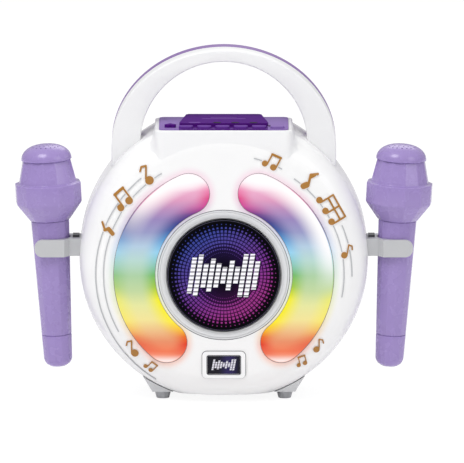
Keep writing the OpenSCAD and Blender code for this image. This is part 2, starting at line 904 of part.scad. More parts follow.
module clip(s) {
  color("silver")
    front_view() translate([s * mic_x, clip_z, -mic_d]) mirror([s > 0 ? 1 : 0, 0, 0])
      rotate([90, 0, 0]) translate([0, 0, -clip_h / 2])
        // Local x points from the microphone to the cabinet
        intersection() {
          linear_extrude(clip_h)
            difference() {
              union() {
                polygon([[-fork_end, -fork_w], [fork_bend, -fork_w], [fork_neck, -clip_arm_w / 2],
                  [fork_neck, clip_arm_w / 2], [fork_bend, fork_w], [-fork_end, fork_w]]);
                translate([fork_neck - eps, -clip_arm_w / 2])
                  square([mic_x - arm_in_x - fork_neck, clip_arm_w]);
              }
              translate([-fork_end - 1, -fork_r]) square([fork_end + 1, 2 * fork_r]);
              circle(fork_r);
            }
          translate([0, far / 2, 0]) rotate([90, 0, 0]) linear_extrude(far)
            union() {
              translate([finger_round - fork_end, 0]) square([far, clip_h]);
              translate([-fork_end, finger_round]) square([far, clip_h - 2 * finger_round]);
              for (z = [finger_round, clip_h - finger_round])
                translate([finger_round - fork_end, z]) circle(finger_round, $fn = 48);
            }
        }
}

module clip_locks() {
  color("dimgray")
    for (s = [-1, 1])
      front_view() translate([s * (body_r + 2.6), clip_z + clip_h / 2 + lock_t / 2, 0])
        between(mic_d - 5, mic_d + 5) square([5, lock_t], center = true);
}

// Microphones: built upright about their own axis, z = 0 at the clip
barrel_z0 = -clip_to_cap;
barrel_z1 = barrel_z0 + barrel_len;
sides = 12;
side_turn = 9.3;
joint_h = 4;

module mic_place(s) {
  front_view() translate([s * mic_x, clip_z, -mic_d]) rotate([-90, 0, 0]) rotate([0, s * mic_lean, 0])
    rotate(s * side_turn) children();
}

module prism(z0, z1, r0, r1) {
  translate([0, 0, z0]) cylinder(h = z1 - z0, r1 = r0, r2 = r1, $fn = sides);
}

module mic_barrel(s) {
  color([0.62, 0.55, 0.75])
    mic_place(s)
      difference() {
        union() {
          prism(barrel_z0, barrel_z1, barrel_low_r, barrel_top_r);
          translate([0, 0, barrel_z1 - eps]) cylinder(h = joint_h, r = barrel_top_r - 2 * mic_wall);
        }
        translate([0, 0, barrel_z0 - 1]) cylinder(h = barrel_len + joint_h + 2, r = cell_bore_r);
      }
}
cell_bore_r = barrel_low_r - 2.6;
mic_cell_r = 7;
mic_cell_len = 50;

module mic_cap(s) {
  color([0.62, 0.55, 0.75])
    mic_place(s)
      union() {
        difference() {
          union() {
            prism(barrel_z0 - cap_len + 6, barrel_z0, cap_r + 0.1, barrel_low_r);
            prism(barrel_z0 - cap_len + 2, barrel_z0 - cap_len + 6, cap_r - 2, cap_r + 0.1);
            prism(barrel_z0 - cap_len, barrel_z0 - cap_len + 2, cap_r - 5, cap_r - 2);
          }
          translate([0, 0, barrel_z0 - cap_len + 8]) cylinder(h = cap_len, r = mic_cell_r + 0.3);
        }
        translate([0, 0, barrel_z0 - eps])
          difference() {
            cylinder(h = joint_h, r = cell_bore_r - run_gap);
            translate([0, 0, -1]) cylinder(h = joint_h + 2, r = mic_cell_r + 0.3);
          }
      }
}

module mic_cell(s) {
  color("steelblue")
    mic_place(s) translate([0, 0, barrel_z0 - cap_len + 8]) cylinder(h = mic_cell_len, r = mic_cell_r);
}

crown_low_r = 22;
crown_top_r = 18.6;
crown_bore_r = crown_top_r - 3;
dome_r = 19.4;

module mic_head(s) {
  band0 = barrel_z1 + cone_len;
  band1 = band0 + band_len;
  crown1 = band1 + crown_len;
  color([0.62, 0.55, 0.75])
    mic_place(s)
      difference() {
        union() {
          prism(barrel_z1, band0, barrel_top_r + 0.6, band_r);
          prism(band0, band1, band_r, band_r);
          prism(band1, crown1, crown_low_r, crown_top_r);
        }
        translate([0, 0, barrel_z1 - 1])
          cylinder(h = joint_h + 1 + fixed_gap, r = barrel_top_r - 2 * mic_wall + fixed_gap);
        translate([0, 0, barrel_z1 + joint_h])
          cylinder(h = cone_len - joint_h + eps, r1 = barrel_top_r - 2 * mic_wall, r2 = band_r - 4);
        translate([0, 0, band0]) cylinder(h = band_len - 2, r = band_r - 4);
        translate([0, 0, band1 - 2 - eps]) cylinder(h = crown_len + 3, r = crown_bore_r);
      }
}

dome_steps = 12;
hole_rings = 3;
dome_hole_r = 0.6;

// Outline of the dome, g further in: x is radius, y is height
function dome_profile(g) = [for (i = [0:dome_steps]) let (a = 90 * i / dome_steps)
  [(dome_r - g) * pow(cos(a), 0.8), (dome_h - g) * sin(a)]];

module mic_grille(s) {
  crown1 = barrel_z1 + cone_len + band_len + crown_len;
  color([0.64, 0.56, 0.77])
    mic_place(s) translate([0, 0, crown1])
      difference() {
        rotate_extrude() difference() {
          polygon(concat([[0, 0]], dome_profile(0)));
          difference() {
            polygon(concat([[0, -eps]], dome_profile(mic_wall)));
            translate([crown_bore_r, -1]) square([dome_r, 1 + mic_wall]);
          }
        }
        for (k = [1:hole_rings], i = [0:6 * k - 1])
          rotate(360 * i / (6 * k)) translate([3.6 * k, 0, 0])
            cylinder(h = dome_h + 1, r = dome_hole_r, $fn = 16);
      }
}

capsule_r = 8;
module mic_capsule(s) {
  crown0 = barrel_z1 + cone_len + band_len;
  color("silver")
    mic_place(s) translate([0, 0, crown0])
      union() {
        cylinder(h = 8, r = capsule_r);
        cylinder(h = 1.6, r = crown_bore_r - run_gap);
      }
}

// Feet
module foot_brackets() {
  under = base_y - base_gap + pad_h;
  color("gainsboro")
    front_view()
      for (s = [-1, 1], r = [[body_r, pad_front_d - pad_top_r - 3, seam_d],
          [back_r, seam_d - eps, body_d - back_round]])
        between(r[1], r[2])
          difference() {
            mirror([s > 0 ? 0 : 1, 0])
              polygon([[pad_x + 17, under + 15], [pad_x + 8, under], [pad_x - 11, under], [pad_x - 22, under + 9]]);
            circle(r[0], $fn = 360);
          }
}

module foot_pads() {
  color("silver")
    for (s = [-1, 1], d = [pad_front_d, pad_back_d])
      translate([s * pad_x, front_y + d, 0]) cylinder(h = pad_h, r1 = pad_foot_r, r2 = pad_top_r);
}

// Speaker and its grille
magnet_r = 18;
magnet_t = 12;
basket_r = 24;
basket_h = 15;
speaker_rim = 4;
cone_r = 12;
cone_sink = 10;

module speaker() {
  back = body_d - wall;
  color("dimgray")
    front_view() translate([0, speaker_y]) turned()
      polygon([[0, back - basket_h - magnet_t], [magnet_r, back - basket_h - magnet_t],
        [magnet_r, back - basket_h], [basket_r, back - basket_h],
        [speaker_r - speaker_rim, back - speaker_rim], [speaker_r, back - speaker_rim],
        [speaker_r, back], [speaker_r - 2 * speaker_rim, back], [cone_r, back - cone_sink],
        [0, back - cone_sink / 2]]);
}

slot_count = 9;
slot_w = 3;
slot_pitch = 2 * speaker_hole_r / (slot_count + 1);

module speaker_grille() {
  color("gainsboro")
    front_view() translate([0, speaker_y])
      difference() {
        union() {
          between(body_d - grille_seat, body_d) circle(grille_r);
          between(body_d - grille_t, body_d - grille_seat + eps) circle(speaker_hole_r - fixed_gap);
        }
        for (i = [0:slot_count - 1]) {
          y = (i - (slot_count - 1) / 2) * slot_pitch;
          half = sqrt(pow(speaker_hole_r - slot_w, 2) - y * y) - slot_w / 2;
          between(body_d - grille_t - 1, body_d + 1) bar([-half, y], [half, y], slot_w);
        }
      }
}

module battery_cell() {
  color("steelblue")
    front_view() translate([-cell_len / 2, door_y, -cell_d]) rotate([0, 90, 0])
      cylinder(h = cell_len, r = cell_r);
}

module battery_contacts() {
  gap = (door_w - 2 * door_ledge - cell_len) / 2;
  color("silver")
    front_view() translate([0, door_y])
      for (s = [-1, 1])
        between(bay_front_d + bay_wall, bay_front_d + bay_wall + 14)
          translate([s * (cell_len / 2 + gap / 2), 0]) square([gap - 0.1, 10], center = true);
}

module battery_door() {
  color("whitesmoke")
    front_view() translate([0, door_y])
      union() {
        between(body_d - door_t, body_d) square([door_w, door_h], center = true);
        between(body_d - wall, body_d - door_t + eps)
          square([door_w - 2 * door_ledge - 2 * slide_gap, door_h - 2 * door_ledge - 2 * slide_gap],
            center = true);
      }
}

module charge_port() {
  color("dimgray")
    front_view() translate([port_x, port_y])
      difference() {
        union() {
          between(body_d - port_len, body_d - 0.4) square([port_w, port_h], center = true);
          between(body_d - port_len, body_d - wall) square([port_w + 8, port_h + 6], center = true);
        }
        between(body_d - port_len + 2, body_d) square([port_w - 1.6, port_h - 1.4], center = true);
      }
}

module power_slider() {
  low = body_d - wall - switch_pit_d - 2;
  color("dimgray")
    front_view() translate([switch_x - switch_travel / 2, switch_y])
      union() {
        between(low, body_d - switch_pit_d + slider_rise) square([slider_w, slider_h], center = true);
        between(low, low + 1.95) square([slider_w + 3, slider_h + 3], center = true);
      }
}

module shell_screws() {
  color("silver")
    front_view() at_screws() union() {
      between(screw_recess_d - screw_head_t, screw_recess_d) circle(screw_head_r, $fn = 32);
      between(seam_d - screw_len + 2, screw_recess_d) circle(screw_r - run_gap, $fn = 32);
    }
}

// Ornament: a skin on the drum's front, cut to outlines
note_t = 0.7;
line_t = 0.45;

module skin(t) {
  intersection() {
    difference() {
      drum(body_r + t, -t, seam_d, front_round + t, 0, 0);
      front_drum();
    }
    between(-far / 4, seam_d) children();
  }
}

// Arc of a staff line about the tray's centre, angles from straight up, side 1 right, -1 left
line_w = 0.9;
line_in_r = lens_mid_r + lens_half + 8;
line_out_r = line_in_r + 6.1;

module staff_arc(side, r, a0, a1) {
  steps = 8;
  translate([0, disc_y])
    intersection() {
      difference() {
        circle(r + line_w / 2);
        circle(r - line_w / 2);
      }
      polygon(concat([[0, 0]], [for (i = [0:steps])
        far * [side * sin(a0 + (a1 - a0) * i / steps), cos(a0 + (a1 - a0) * i / steps)]]));
    }
}

// Side, radius, first and last angle of each piece: the lines stop at the notes that lie across them.
staff_spans = [
  [-1, line_in_r, 31, 35.1], [-1, line_in_r, 40.2, 49], [-1, line_in_r, 53.7, 54.8],
  [-1, line_in_r, 57.9, 67.1], [-1, line_in_r, 70.6, 119],
  [-1, line_out_r, 40, 48.4], [-1, line_out_r, 50.2, 53.5], [-1, line_out_r, 55.3, 67],
  [-1, line_out_r, 70.1, 148],
  [1, line_in_r, 35.6, 39.4], [1, line_in_r, 43.5, 49.5], [1, line_in_r, 53.3, 55.2],
  [1, line_in_r, 59.5, 61.1], [1, line_in_r, 65.4, 78.7], [1, line_in_r, 82.4, 101],
  [1, line_out_r, 66.9, 75.6], [1, line_out_r, 78.7, 91],
  [1, line_in_r + 1.4, 14.2, 18.1], [1, line_in_r + 1.4, 26.4, 28.4]];

module staff_lines() {
  color("darkgray")
    for (v = staff_spans) front_view() skin(line_t) staff_arc(v[0], v[1], v[2], v[3]);
}

// Notes, in front view about the tray's centre
stem_w = 1.3;
beam_w = 2;

module note_head(p, r) {
  translate(p) circle(r, $fn = 32);
}

module single_note(p, turn, k) {
  translate(p) rotate(turn) scale(k)
    union() {
      note_head([0, 0], 3.3);
      bar([2.7, 1], [2.7, 11], stem_w);
      bar([2.7, 11], [6.4, 10], stem_w);
      bar([6.4, 10], [7.2, 6.6], stem_w);
    }
}

module mirrored_note(p, turn, k) {
  translate(p) rotate(turn) mirror([1, 0]) single_note([0, 0], 0, k);
}

module pennant_note(p) {
  translate(p)
    union() {
      bar([-1.2, -0.5], [1.2, 0.5], 4.6);
      bar([2.6, 0.8], [4.3, 8], 1.8);
      bar([4.3, 8], [9.8, 8.3], 1.8);
      bar([4, 5.8], [7.6, 7.4], 1.6);
    }
}

module wavy_note(p) {
  translate(p)
    union() {
      bar([-4.9, 4.9], [-3, -0.9], 1.6);
      bar([-3, -0.9], [0, 0], 2.4);
      bar([0, 0], [3, -3.6], 3.2);
    }
}

module pair_note(p, turn, k) {
  translate(p) rotate(turn) scale(k)
    union() {
      note_head([0, 0], 2.7);
      note_head([8.4, 0.4], 2.9);
      bar([2.1, 0], [2.1, 10.4], stem_w);
      bar([10.6, 0], [10.6, 11], stem_w);
      bar([2.1, 10.4], [10.6, 11], beam_w);
    }
}

module triple_note(p, turn, k) {
  translate(p) rotate(turn) scale(k)
    union() {
      for (i = [0:2]) {
        note_head([9.6 * i, 0], 2.5);
        bar([9.6 * i + 2, 0], [9.6 * i + 2, 11], stem_w);
      }
      bar([2, 11], [21.2, 11], stem_w);
      bar([2, 6.6], [21.2, 6.6], stem_w);
    }
}

// The notes are laid out for an inner staff line of radius 92.3 and grow with it.
module on_drum() {
  front_view() skin(note_t) translate([0, disc_y]) scale(line_in_r / 92.3) children();
}

module gold_notes() {
  color("darkgoldenrod") {
    on_drum() mirrored_note([-56.9, 73.8], 0, 1);
    on_drum() pair_note([-78.9, 52.5], 38, 1);
    on_drum() wavy_note([-88.2, 35.9]);
    on_drum() mirrored_note([-68.4, -61.4], 0, 0.9);
    on_drum() pair_note([-60.2, -72], -40, 0.6);
    on_drum() pair_note([31.4, 86.9], -28, 0.85);
    on_drum() pennant_note([62.2, 69.8]);
    on_drum() triple_note([73.2, 58.4], -61, 1);
    on_drum() single_note([92.4, 15.4], -10, 0.75);
    on_drum() pair_note([57.6, -71], 15, 0.6);
    on_drum() single_note([71.2, -58.6], 0, 0.75);
  }
}

front_shell();
back_shell();
top_housing();
key_panel();
key_plate();
key(0);  // key_light
key(1);  // key_previous
key(2);  // key_play
key(3);  // key_next
key(4);  // key_volume_down
key(5);  // key_volume_up
heart_key();
key_board();
handle_front();
handle_back();
lens(-1);  // lens_left
lens(1);  // lens_right
led_board(-1);  // led_board_left
led_board(1);  // led_board_right
disc_tray();
spindle_hub();
spindle_motor();
disc();
display_bezel();
display_window();
display_board();
main_board();
clip(-1);  // clip_left
clip(1);  // clip_right
clip_locks();
mic_grille(-1);  // mic_left_grille
mic_head(-1);  // mic_left_head
mic_barrel(-1);  // mic_left_barrel
mic_cap(-1);  // mic_left_cap
mic_capsule(-1);  // mic_left_capsule
mic_cell(-1);  // mic_left_cell
mic_grille(1);  // mic_right_grille
mic_head(1);  // mic_right_head
mic_barrel(1);  // mic_right_barrel
mic_cap(1);  // mic_right_cap
mic_capsule(1);  // mic_right_capsule
mic_cell(1);  // mic_right_cell
foot_brackets();
foot_pads();
speaker();
speaker_grille();
battery_cell();
battery_contacts();
battery_door();
charge_port();
power_slider();
shell_screws();
staff_lines();
gold_notes();
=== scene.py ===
"""A toy karaoke machine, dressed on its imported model: a white drum with two glowing
lenses, a printed disc in a round tray, a purple key panel, a handle and two microphones."""
import math

import bmesh
import bpy
from mathutils import Matrix, Vector


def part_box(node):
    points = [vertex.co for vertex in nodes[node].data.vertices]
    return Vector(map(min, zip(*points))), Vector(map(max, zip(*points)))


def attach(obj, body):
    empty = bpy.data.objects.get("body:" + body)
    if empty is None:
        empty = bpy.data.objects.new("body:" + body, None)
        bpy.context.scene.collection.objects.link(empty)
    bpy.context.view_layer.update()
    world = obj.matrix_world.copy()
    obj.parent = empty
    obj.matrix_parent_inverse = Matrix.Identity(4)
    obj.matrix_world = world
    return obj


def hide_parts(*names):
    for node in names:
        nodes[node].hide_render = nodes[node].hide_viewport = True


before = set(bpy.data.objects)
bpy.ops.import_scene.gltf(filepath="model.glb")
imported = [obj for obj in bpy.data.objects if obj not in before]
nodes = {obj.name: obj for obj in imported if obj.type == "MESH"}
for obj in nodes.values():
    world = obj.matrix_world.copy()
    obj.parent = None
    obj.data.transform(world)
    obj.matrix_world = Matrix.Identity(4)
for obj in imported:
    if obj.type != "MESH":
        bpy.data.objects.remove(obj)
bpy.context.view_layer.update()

# Camera: a long lens from about ten degrees above the table, straight at the front.
CAMERA_TILT = math.radians(10.3)
CAMERA_FAR = 6.94
CAMERA_AIM = Vector((0, 0, 0.1268))
bpy.ops.object.camera_add(
    location=CAMERA_AIM + CAMERA_FAR * Vector((0, -math.cos(CAMERA_TILT), math.sin(CAMERA_TILT))),
    rotation=(math.pi / 2 - CAMERA_TILT, 0, 0))
camera = bpy.context.object
camera.data.lens = 36 * 9000 / 464
camera.data.sensor_width = 36
camera.data.shift_x = 8.2 / 464
camera.data.clip_end = 50
bpy.context.scene.camera = camera


# Floor and light: a white table that keeps a soft shadow, a pale room, a large soft box
# to the upper left of the machine, a weaker one to its right and one behind.
def srgb(red, green, blue, alpha=1.0):
    """A colour as a painter reads it off a screen, 0 to 255, in the renderer's own scale."""
    parts = [c / 255 for c in (red, green, blue)]
    return (*[p / 12.92 if p <= 0.04045 else ((p + 0.055) / 1.055) ** 2.4 for p in parts], alpha)


def new_material(name):
    """An empty node material, with its output and its maker of nodes and links."""
    material = bpy.data.materials.new(name)
    material.use_nodes = True
    tree = material.node_tree
    tree.nodes.clear()
    return material, tree, tree.nodes.new("ShaderNodeOutputMaterial")


bpy.ops.mesh.primitive_circle_add(vertices=96, radius=25, fill_type="NGON")
floor = bpy.context.object
floor.name = "table_top"
floor_paint, tree, out = new_material("white table")
painted = tree.nodes.new("ShaderNodeBsdfPrincipled")
painted.inputs["Base Color"].default_value = srgb(252, 252, 253)
painted.inputs["Roughness"].default_value = 0.9
white = tree.nodes.new("ShaderNodeEmission")
white.inputs["Color"].default_value = (1, 1, 1, 1)
white.inputs["Strength"].default_value = 1.06
rays = tree.nodes.new("ShaderNodeLightPath")
share = tree.nodes.new("ShaderNodeMath")
share.operation = "MULTIPLY"
share.inputs[1].default_value = 0.86
tree.links.new(rays.outputs["Is Camera Ray"], share.inputs[0])
mixed = tree.nodes.new("ShaderNodeMixShader")
tree.links.new(share.outputs[0], mixed.inputs["Fac"])
tree.links.new(painted.outputs[0], mixed.inputs[1])
tree.links.new(white.outputs[0], mixed.inputs[2])
tree.links.new(mixed.outputs[0], out.inputs["Surface"])
floor.data.materials.append(floor_paint)

world = bpy.data.worlds.new("pale room")
bpy.context.scene.world = world
world.use_nodes = True
tree = world.node_tree
tree.nodes.clear()
rays = tree.nodes.new("ShaderNodeLightPath")
seen = tree.nodes.new("ShaderNodeMath")
seen.operation = "MAXIMUM"
tree.links.new(rays.outputs["Is Camera Ray"], seen.inputs[0])
tree.links.new(rays.outputs["Is Transmission Ray"], seen.inputs[1])
way = tree.nodes.new("ShaderNodeTexCoord")
height = tree.nodes.new("ShaderNodeSeparateXYZ")
tree.links.new(way.outputs["Generated"], height.inputs[0])
glow = tree.nodes.new("ShaderNodeMapRange")
glow.inputs["From Min"].default_value = -0.3
glow.inputs["From Max"].default_value = 0.9
glow.inputs["To Min"].default_value = 0.26
glow.inputs["To Max"].default_value = 0.88
tree.links.new(height.outputs["Z"], glow.inputs["Value"])
strength = tree.nodes.new("ShaderNodeMapRange")
strength.inputs["To Max"].default_value = 1.0
tree.links.new(glow.outputs["Result"], strength.inputs["To Min"])
tree.links.new(seen.outputs[0], strength.inputs["Value"])
room = tree.nodes.new("ShaderNodeBackground")
room.inputs["Color"].default_value = (1, 1, 1, 1)
tree.links.new(strength.outputs["Result"], room.inputs["Strength"])
tree.links.new(room.outputs[0], tree.nodes.new("ShaderNodeOutputWorld").inputs["Surface"])
bpy.context.scene.view_settings.view_transform = "Standard"

for lamp, place, size, power in (
        ("soft box left", (-0.7, -0.9, 1.9), 1.1, 17),
        ("soft box right", (1.3, -0.9, 1.0), 0.9, 3),
        ("soft box back", (0.2, 1.3, 1.2), 1.0, 3)):
    bpy.ops.object.light_add(type="AREA", location=place)
    light = bpy.context.object
    light.name = lamp
    light.data.shape = "DISK"
    light.data.size = size
    light.data.energy = power
    light.rotation_euler = (CAMERA_AIM - Vector(place)).to_track_quat("-Z", "Y").to_euler()


# Cabinet shells: glossy white moulded plastic, two halves that meet behind the drum's middle.
# Every plastic piece shares one effect: a faint unevenness of colour and gloss, and the
# slight orange peel of a polished mould.
def moulded_surface():
    """The shared effect's node group."""
    group = bpy.data.node_groups.new("moulded surface", "ShaderNodeTree")
    face = group.interface
    face.new_socket("Colour", in_out="INPUT", socket_type="NodeSocketColor")
    for name in ("Roughness", "Grain per metre", "Grain depth"):
        face.new_socket(name, in_out="INPUT", socket_type="NodeSocketFloat")
    face.new_socket("Colour", in_out="OUTPUT", socket_type="NodeSocketColor")
    face.new_socket("Roughness", in_out="OUTPUT", socket_type="NodeSocketFloat")
    face.new_socket("Normal", in_out="OUTPUT", socket_type="NodeSocketVector")
    add, link = group.nodes.new, group.links.new
    given, made = add("NodeGroupInput"), add("NodeGroupOutput")
    place = add("ShaderNodeTexCoord")
    cloud = add("ShaderNodeTexNoise")
    cloud.inputs["Scale"].default_value = 22
    cloud.inputs["Detail"].default_value = 3
    link(place.outputs["Object"], cloud.inputs["Vector"])
    shade = add("ShaderNodeMapRange")
    shade.inputs["To Min"].default_value = 0.985
    shade.inputs["To Max"].default_value = 1.006
    link(cloud.outputs["Fac"], shade.inputs["Value"])
    tone = add("ShaderNodeMix")
    tone.data_type, tone.blend_type = "RGBA", "MULTIPLY"
    tone.inputs["Factor"].default_value = 1
    link(given.outputs["Colour"], tone.inputs["A"])
    link(shade.outputs["Result"], tone.inputs["B"])
    link(tone.outputs["Result"], made.inputs["Colour"])
    smear = add("ShaderNodeTexNoise")
    smear.inputs["Scale"].default_value = 160
    smear.inputs["Detail"].default_value = 2
    link(place.outputs["Object"], smear.inputs["Vector"])
    polish = add("ShaderNodeMapRange")
    polish.inputs["To Min"].default_value = -0.015
    polish.inputs["To Max"].default_value = 0.02
    link(smear.outputs["Fac"], polish.inputs["Value"])
    rough = add("ShaderNodeMath")
    link(given.outputs["Roughness"], rough.inputs[0])
    link(polish.outputs["Result"], rough.inputs[1])
    link(rough.outputs[0], made.inputs["Roughness"])
    grain = add("ShaderNodeTexNoise")
    grain.inputs["Detail"].default_value = 2
    link(place.outputs["Object"], grain.inputs["Vector"])
    link(given.outputs["Grain per metre"], grain.inputs["Scale"])
    bump = add("ShaderNodeBump")
    bump.inputs["Distance"].default_value = 0.0001
    link(grain.outputs["Fac"], bump.inputs["Height"])
    link(given.outputs["Grain depth"], bump.inputs["Strength"])
    link(bump.outputs["Normal"], made.inputs["Normal"])
    return group


MOULDED = moulded_surface()


def plastic(name, colour, roughness=0.3, grain=1500, depth=0.06, coat=0.0, shine=0.5):
    """A moulded plastic, and the nodes that a piece may add to."""
    material, tree, out = new_material(name)
    shader = tree.nodes.new("ShaderNodeBsdfPrincipled")
    effect = tree.nodes.new("ShaderNodeGroup")
    effect.node_tree = MOULDED
    effect.inputs["Colour"].default_value = colour
    effect.inputs["Roughness"].default_value = roughness
    effect.inputs["Grain per metre"].default_value = grain
    effect.inputs["Grain depth"].default_value = depth
    tree.links.new(effect.outputs["Colour"], shader.inputs["Base Color"])
    tree.links.new(effect.outputs["Roughness"], shader.inputs["Roughness"])
    tree.links.new(effect.outputs["Normal"], shader.inputs["Normal"])
    shader.inputs["Specular IOR Level"].default_value = shine
    shader.inputs["Coat Weight"].default_value = coat
    shader.inputs["Coat Roughness"].default_value = 0.08
    tree.links.new(shader.outputs[0], out.inputs["Surface"])
    return material


def dress(material, *names):
    """Puts a material on carried-over nodes."""
    for name in names:
        mesh = nodes[name].data
        mesh.materials.clear()
        mesh.materials.append(material)


dress(plastic("shell white", srgb(247, 247, 247), 0.26, coat=0.12), "back_shell")
disc_low, disc_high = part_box("disc")
TRAY_Z = (disc_low.z + disc_high.z) / 2
TRAY_BELOW_DRUM = 0.009
DRUM_Z = TRAY_Z + TRAY_BELOW_DRUM
FRONT_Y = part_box("front_shell")[0].y
MM = 0.001


# Staff lines and notes: thin raised ornaments, stuck round the drum's front. The notes are gold; the lines
# are white ridges coloured grey as painted shade along them.
dress(plastic("raised line painted shade grey", srgb(188, 189, 192), 0.35), "staff_lines")
dress(plastic("gold ornament", srgb(168, 114, 34), 0.34, coat=0.2), "gold_notes")


# Top housing: a white tub that carries the keys. Its walls flare out into the drum, and its
# flat top is a lip round the key panel.
def rounded_rectangle(width, length, radius, corner_steps=8, side_steps=10):
    """Points and outward directions of a rounded rectangle, the same number for any size."""
    points, outward = [], []
    corners = ((1, -1, -90), (1, 1, 0), (-1, 1, 90), (-1, -1, 180))
    for index, (sx, sy, start) in enumerate(corners):
        middle = Vector((sx * (width / 2 - radius), sy * (length / 2 - radius)))
        for step in range(corner_steps + 1):
            turn = math.radians(start + 90 * step / corner_steps)
            way = Vector((math.cos(turn), math.sin(turn)))
            points.append(middle + radius * way)
            outward.append(way)
        sx, sy, start = corners[(index + 1) % 4]
        way = Vector((math.cos(math.radians(start)), math.sin(math.radians(start))))
        after = Vector((sx * (width / 2 - radius), sy * (length / 2 - radius))) + radius * way
        before = points[-1].copy()
        for step in range(1, side_steps):
            points.append(before.lerp(after, step / side_steps))
            outward.append(way)
    return points, outward


def choose_nothing():
    """Deselects everything, and leaves edit mode."""
    if bpy.context.object and bpy.context.object.mode != "OBJECT":
        bpy.ops.object.mode_set(mode="OBJECT")
    bpy.ops.object.select_all(action="DESELECT")


def wrapped(name, rings, ends=(True, True)):
    """A skin over rings of points: a grid, bent into a tube and closed at its ends."""
    around, along = len(rings[0]), len(rings)
    choose_nothing()
    bpy.ops.mesh.primitive_grid_add(x_subdivisions=around, y_subdivisions=along - 1)
    piece = bpy.context.object
    piece.name = name
    for index, vertex in enumerate(piece.data.vertices):
        row, column = divmod(index, around + 1)
        vertex.co = rings[row][column % around]
    mesh = bmesh.new()
    mesh.from_mesh(piece.data)
    mesh.verts.ensure_lookup_table()
    caps = [[mesh.verts[row * (around + 1) + column] for column in range(around)]
            for row, closed in ((0, ends[0]), (along - 1, ends[1])) if closed]
    for cap in caps:
        mesh.faces.new(cap)
    bmesh.ops.remove_doubles(mesh, verts=mesh.verts, dist=1e-7)
    bmesh.ops.recalc_face_normals(mesh, faces=mesh.faces)
    mesh.to_mesh(piece.data)
    mesh.free()
    return piece


def finish(piece, material, body, stands_for=(), bevel=0.0, segments=3, crease=30, smooth=35):
    """Rounds a piece's sharp edges, smooths it, and gives it its material and body."""
    choose_nothing()
    piece.select_set(True)
    bpy.context.view_layer.objects.active = piece
    if bevel:
        rounding = piece.modifiers.new("rounded edges", "BEVEL")
        rounding.width = bevel
        rounding.segments = segments
        rounding.limit_method = "ANGLE"
        rounding.angle_limit = math.radians(crease)
        rounding.harden_normals = False
        bpy.ops.object.modifier_apply(modifier=rounding.name)
    bpy.ops.object.shade_smooth_by_angle(angle=math.radians(smooth))
    if material:
        piece.data.materials.clear()
        piece.data.materials.append(material)
    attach(piece, body)
    if stands_for:
        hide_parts(*stands_for)
    return piece


FRONT_DRUM, BACK_DRUM = (111.0, 24.0), (109.8, 14.0)
DRUM_SEAM, DRUM_DEPTH, DRUM_CROWN = 66, 94, 98.5


def drum_height(x, depth):
    """Height of the drum's skin above its centre at a point seen from above, in millimetres.
    Each half has a radius and a rounding, and both are cut flat at the crown."""
    radius, rounding = FRONT_DRUM
    if depth > DRUM_SEAM:
        (radius, rounding), depth = BACK_DRUM, DRUM_DEPTH - depth
    if depth < rounding:
        radius += -rounding + math.sqrt(max(0.0, rounding ** 2 - (rounding - depth) ** 2))
    return min(DRUM_CROWN, math.sqrt(max(1.0, radius ** 2 - x ** 2)))


HOUSING = {"width": 105.6, "front": 1.0, "back": 64.0, "top": 103.0, "round": 6.0}
PANEL = {"width": 99.0, "length": 57.0, "round": 3.95, "clear": 0.15, "lip": 2.4}
house_length = HOUSING["back"] - HOUSING["front"]
house_middle = (HOUSING["back"] + HOUSING["front"]) / 2
panel_middle = HOUSING["front"] + PANEL["lip"] + PANEL["length"] / 2


def housing_ring(inset, height, flare=None):
    """One level of the housing. With flare from 0 to 1 it follows the curve down to the drum."""
    points, outward = rounded_rectangle(
        HOUSING["width"] - 2 * inset, house_length - 2 * inset, HOUSING["round"] - min(inset, 4))
    ring = []
    for point, way in zip(points, outward):
        x, depth = point.x, point.y + house_middle
        level = height
        if flare is not None:
            reach = 0.75 + 7.5 * way.x ** 2 + (3.0 if way.y > 0.5 else 0.0)
            foot = (x + reach * way.x, max(0.2, depth + reach * way.y))
            low = drum_height(*foot) - 0.4
            knee = max(drum_height(x, depth), low)
            high = min(HOUSING["top"] - 1.6, knee + 2.0 + 0.8 * reach)
            t = flare
            out = t * t
            x, depth = x + (foot[0] - x) * out, depth + (foot[1] - depth) * out
            level = (1 - t) ** 2 * high + 2 * t * (1 - t) * (0.35 * high + 0.65 * low) + t * t * low
        ring.append(Vector((x * MM, FRONT_Y + depth * MM, DRUM_Z + level * MM)))
    return ring


def opening_ring(height):
    """One level of the opening that the key panel sits in."""
    width, length, corner = (PANEL[key] + share * PANEL["clear"]
                             for key, share in (("width", 2), ("length", 2), ("round", 1)))
    points, _ = rounded_rectangle(width, length, corner)
    return [Vector((p.x * MM, FRONT_Y + (p.y + panel_middle) * MM, DRUM_Z + height * MM)) for p in points]


top = HOUSING["top"]
rings = [opening_ring(top - 3), opening_ring(top - 0.25), opening_ring(top), housing_ring(1.3, top),
         housing_ring(0.65, top - 0.12), housing_ring(0.2, top - 0.5), housing_ring(0, top - 1.2)]
rings += [housing_ring(0, 0, step / 12) for step in range(13)]
rings += [housing_ring(2.2, 76.5), housing_ring(2.2, 99), opening_ring(top - 3)]
housing = wrapped("top_housing_skin", rings, (False, False))
HOUSING_WHITE = plastic("housing white", srgb(240, 240, 241), 0.34, coat=0.15)
finish(housing, HOUSING_WHITE, "cabinet", ["top_housing"])


